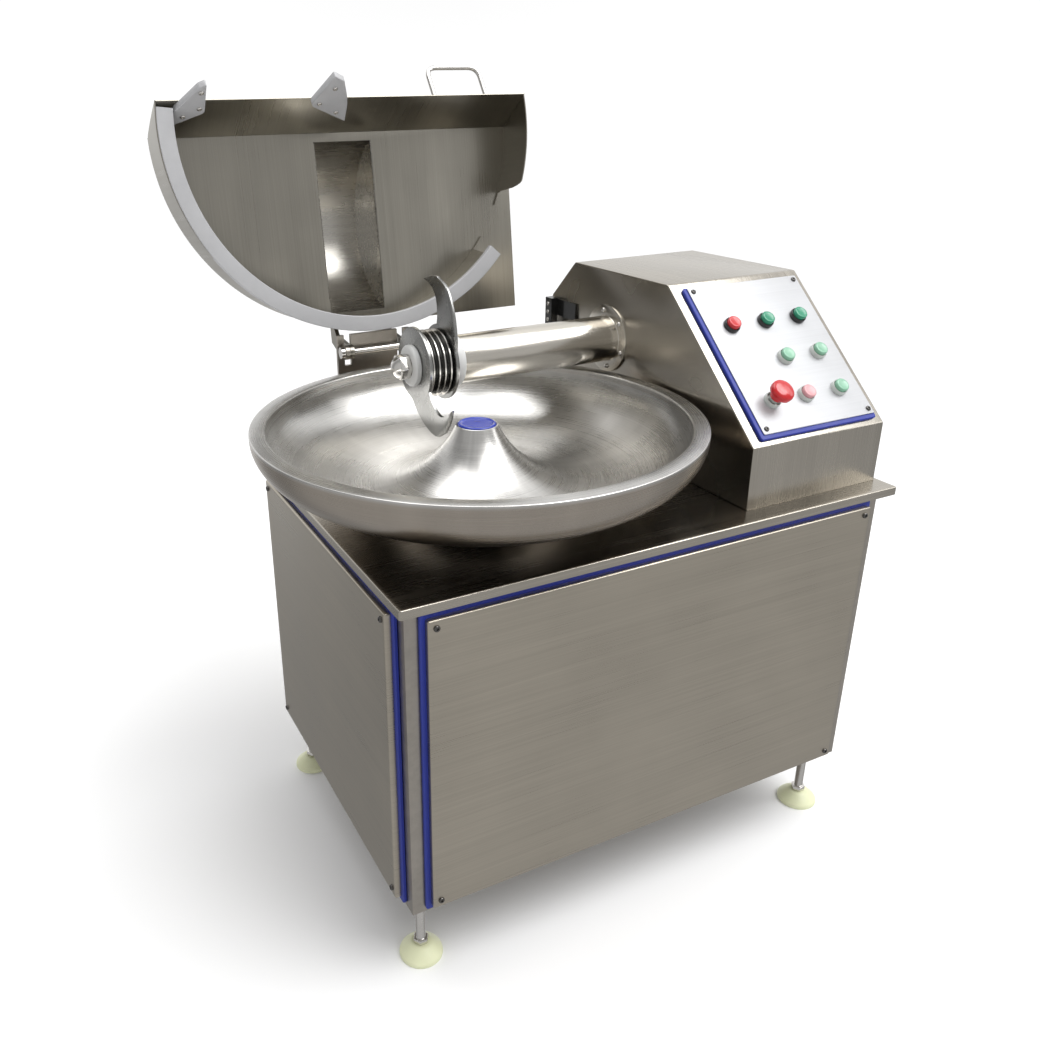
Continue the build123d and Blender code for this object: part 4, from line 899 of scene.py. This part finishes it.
mushroom_profile = [(4.2, 21), (11.2, 21), (11.5, 21.4), (11.5, 24), (12.6, 30), (14.5, 32), (18.6, 33),
                    (19.8, 33.8), (20, 34.8), (20, 39.5), (19.4, 41.6), (17.6, 43.6), (14, 45.2),
                    (8, 45.9), (0, 46)]
mushroom = turned(mushroom_profile, stop_centre, CONTROL_OUT, X, 64)
piece("mushroom_head", "estop_knob", red, mushroom, ["estop_head"], 40)

# ---------------------------------------------------------------- levelling feet
# Cream nylon pads under stainless threaded stems, each stem locked under the rail by a hexagon nut.
foot_nylon = plastic("foot_nylon", (0.80, 0.82, 0.55), 0.42, 0.05, 60.0, 0.05)
pad_corners = [(0.01, 0), (36, 0), (36, 7), (17, 24), (8.2, 24), (8.2, 12), (0.01, 12)]
PAD = rounded(pad_corners, [0.1, 1.5, 5, 6, 1, 0.5, 0.1], 5)
NUT = rounded(polar([(angle, 14.0) for angle in range(0, 360, 60)]), 1.4, 3)
THREAD_STEPS = 84                             # points along a thread, in and out by turns
depths = np.where(np.arange(THREAD_STEPS) % 2 == 0, 7.2, 8.0)
thread = np.stack((depths, np.linspace(34.5, 117.5, THREAD_STEPS)), -1)
stem_profile = np.concatenate(([(0, 10.2), (8, 10.2), (8, 34)], thread, [(8, 118), (8, 154), (0, 155)]))
pads, stems = [], []
for x in (-372.0, 458.0):
    for y in (-395.0, 147.0):
        pads.append(turned(PAD, (x, y, 0), Z, X, 64))
        stems.append(turned(stem_profile, (x, y, 0), Z, X, 28))
        stems.append(plate((x, y, 118), X, Y, Z, NUT, 11.9, 1.0))
        stems.append(plate((x, y, 24.1), X, Y, Z, NUT * 0.93, 9.8, 1.0))
piece("nylon_pads", "base", foot_nylon, joined(*pads), ["foot_pads"], 40)
piece("threaded_stems", "base", bright_steel, joined(*stems), ["foot_stems"], 30)

# ---------------------------------------------------------------- frame and everything shown as built
# The welded angle frame, hinge, shaft, switch parts and the drive inside keep their own solids and get their
# finishes.
frame_steel = brushed_steel("angle_steel", (0.42, 0.39, 0.35), (60, 60, 60), 0.34)
grey_enamel = plastic("grey_enamel", (0.10, 0.12, 0.15), 0.35, 0.3, 50.0, 0.08)
cast = plastic("cast_iron", (0.06, 0.06, 0.065), 0.5, 0.0, 120.0, 0.3)
belt_rubber = plastic("belt_rubber", (0.012, 0.012, 0.012), 0.6, 0.0, 160.0, 0.2)
AS_BUILT = (
    (frame_steel, ("frame", "bottom_plate", "hinge_bracket")),
    (bright_steel, ("hinge_pin", "knife_shaft", "shaft_bearings")),
    (bright_steel, ("bowl_bearings", "bowl_spindle", "bowl_bearing_housing")),
    (lid_steel, ("lid_arms",)),
    (grey_enamel, ("knife_motor", "bowl_motor", "bowl_gearbox")),
    (cast, ("shaft_pulley", "motor_pulley")),
    (belt_rubber, ("drive_belts",)),
    (black, ("contact_blocks", "limit_switch")),
    (clear, ("estop_stem",)),
)
for material, nodes in AS_BUILT:
    for node in nodes:
        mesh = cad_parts[node].data
        mesh.materials.clear()
        mesh.materials.append(material)

# ---------------------------------------------------------------- floor
# A plain pale floor, wide enough to fill the view. The steel mirrors the grey room instead of it.
FLOOR = 30
pale = Finish("pale_floor", Base_Color=(0.92, 0.92, 0.92, 1), Roughness=0.9)
sheet = bpy.data.meshes.new("floor")
corners = [(-FLOOR, -FLOOR, 0), (FLOOR, -FLOOR, 0), (FLOOR, FLOOR, 0), (-FLOOR, FLOOR, 0)]
sheet.from_pydata(corners, [], [(0, 1, 2, 3)])
sheet.materials.append(pale.material)
floor = bpy.data.objects.new("floor", sheet)
floor.visible_glossy = False
bpy.context.scene.collection.objects.link(floor)
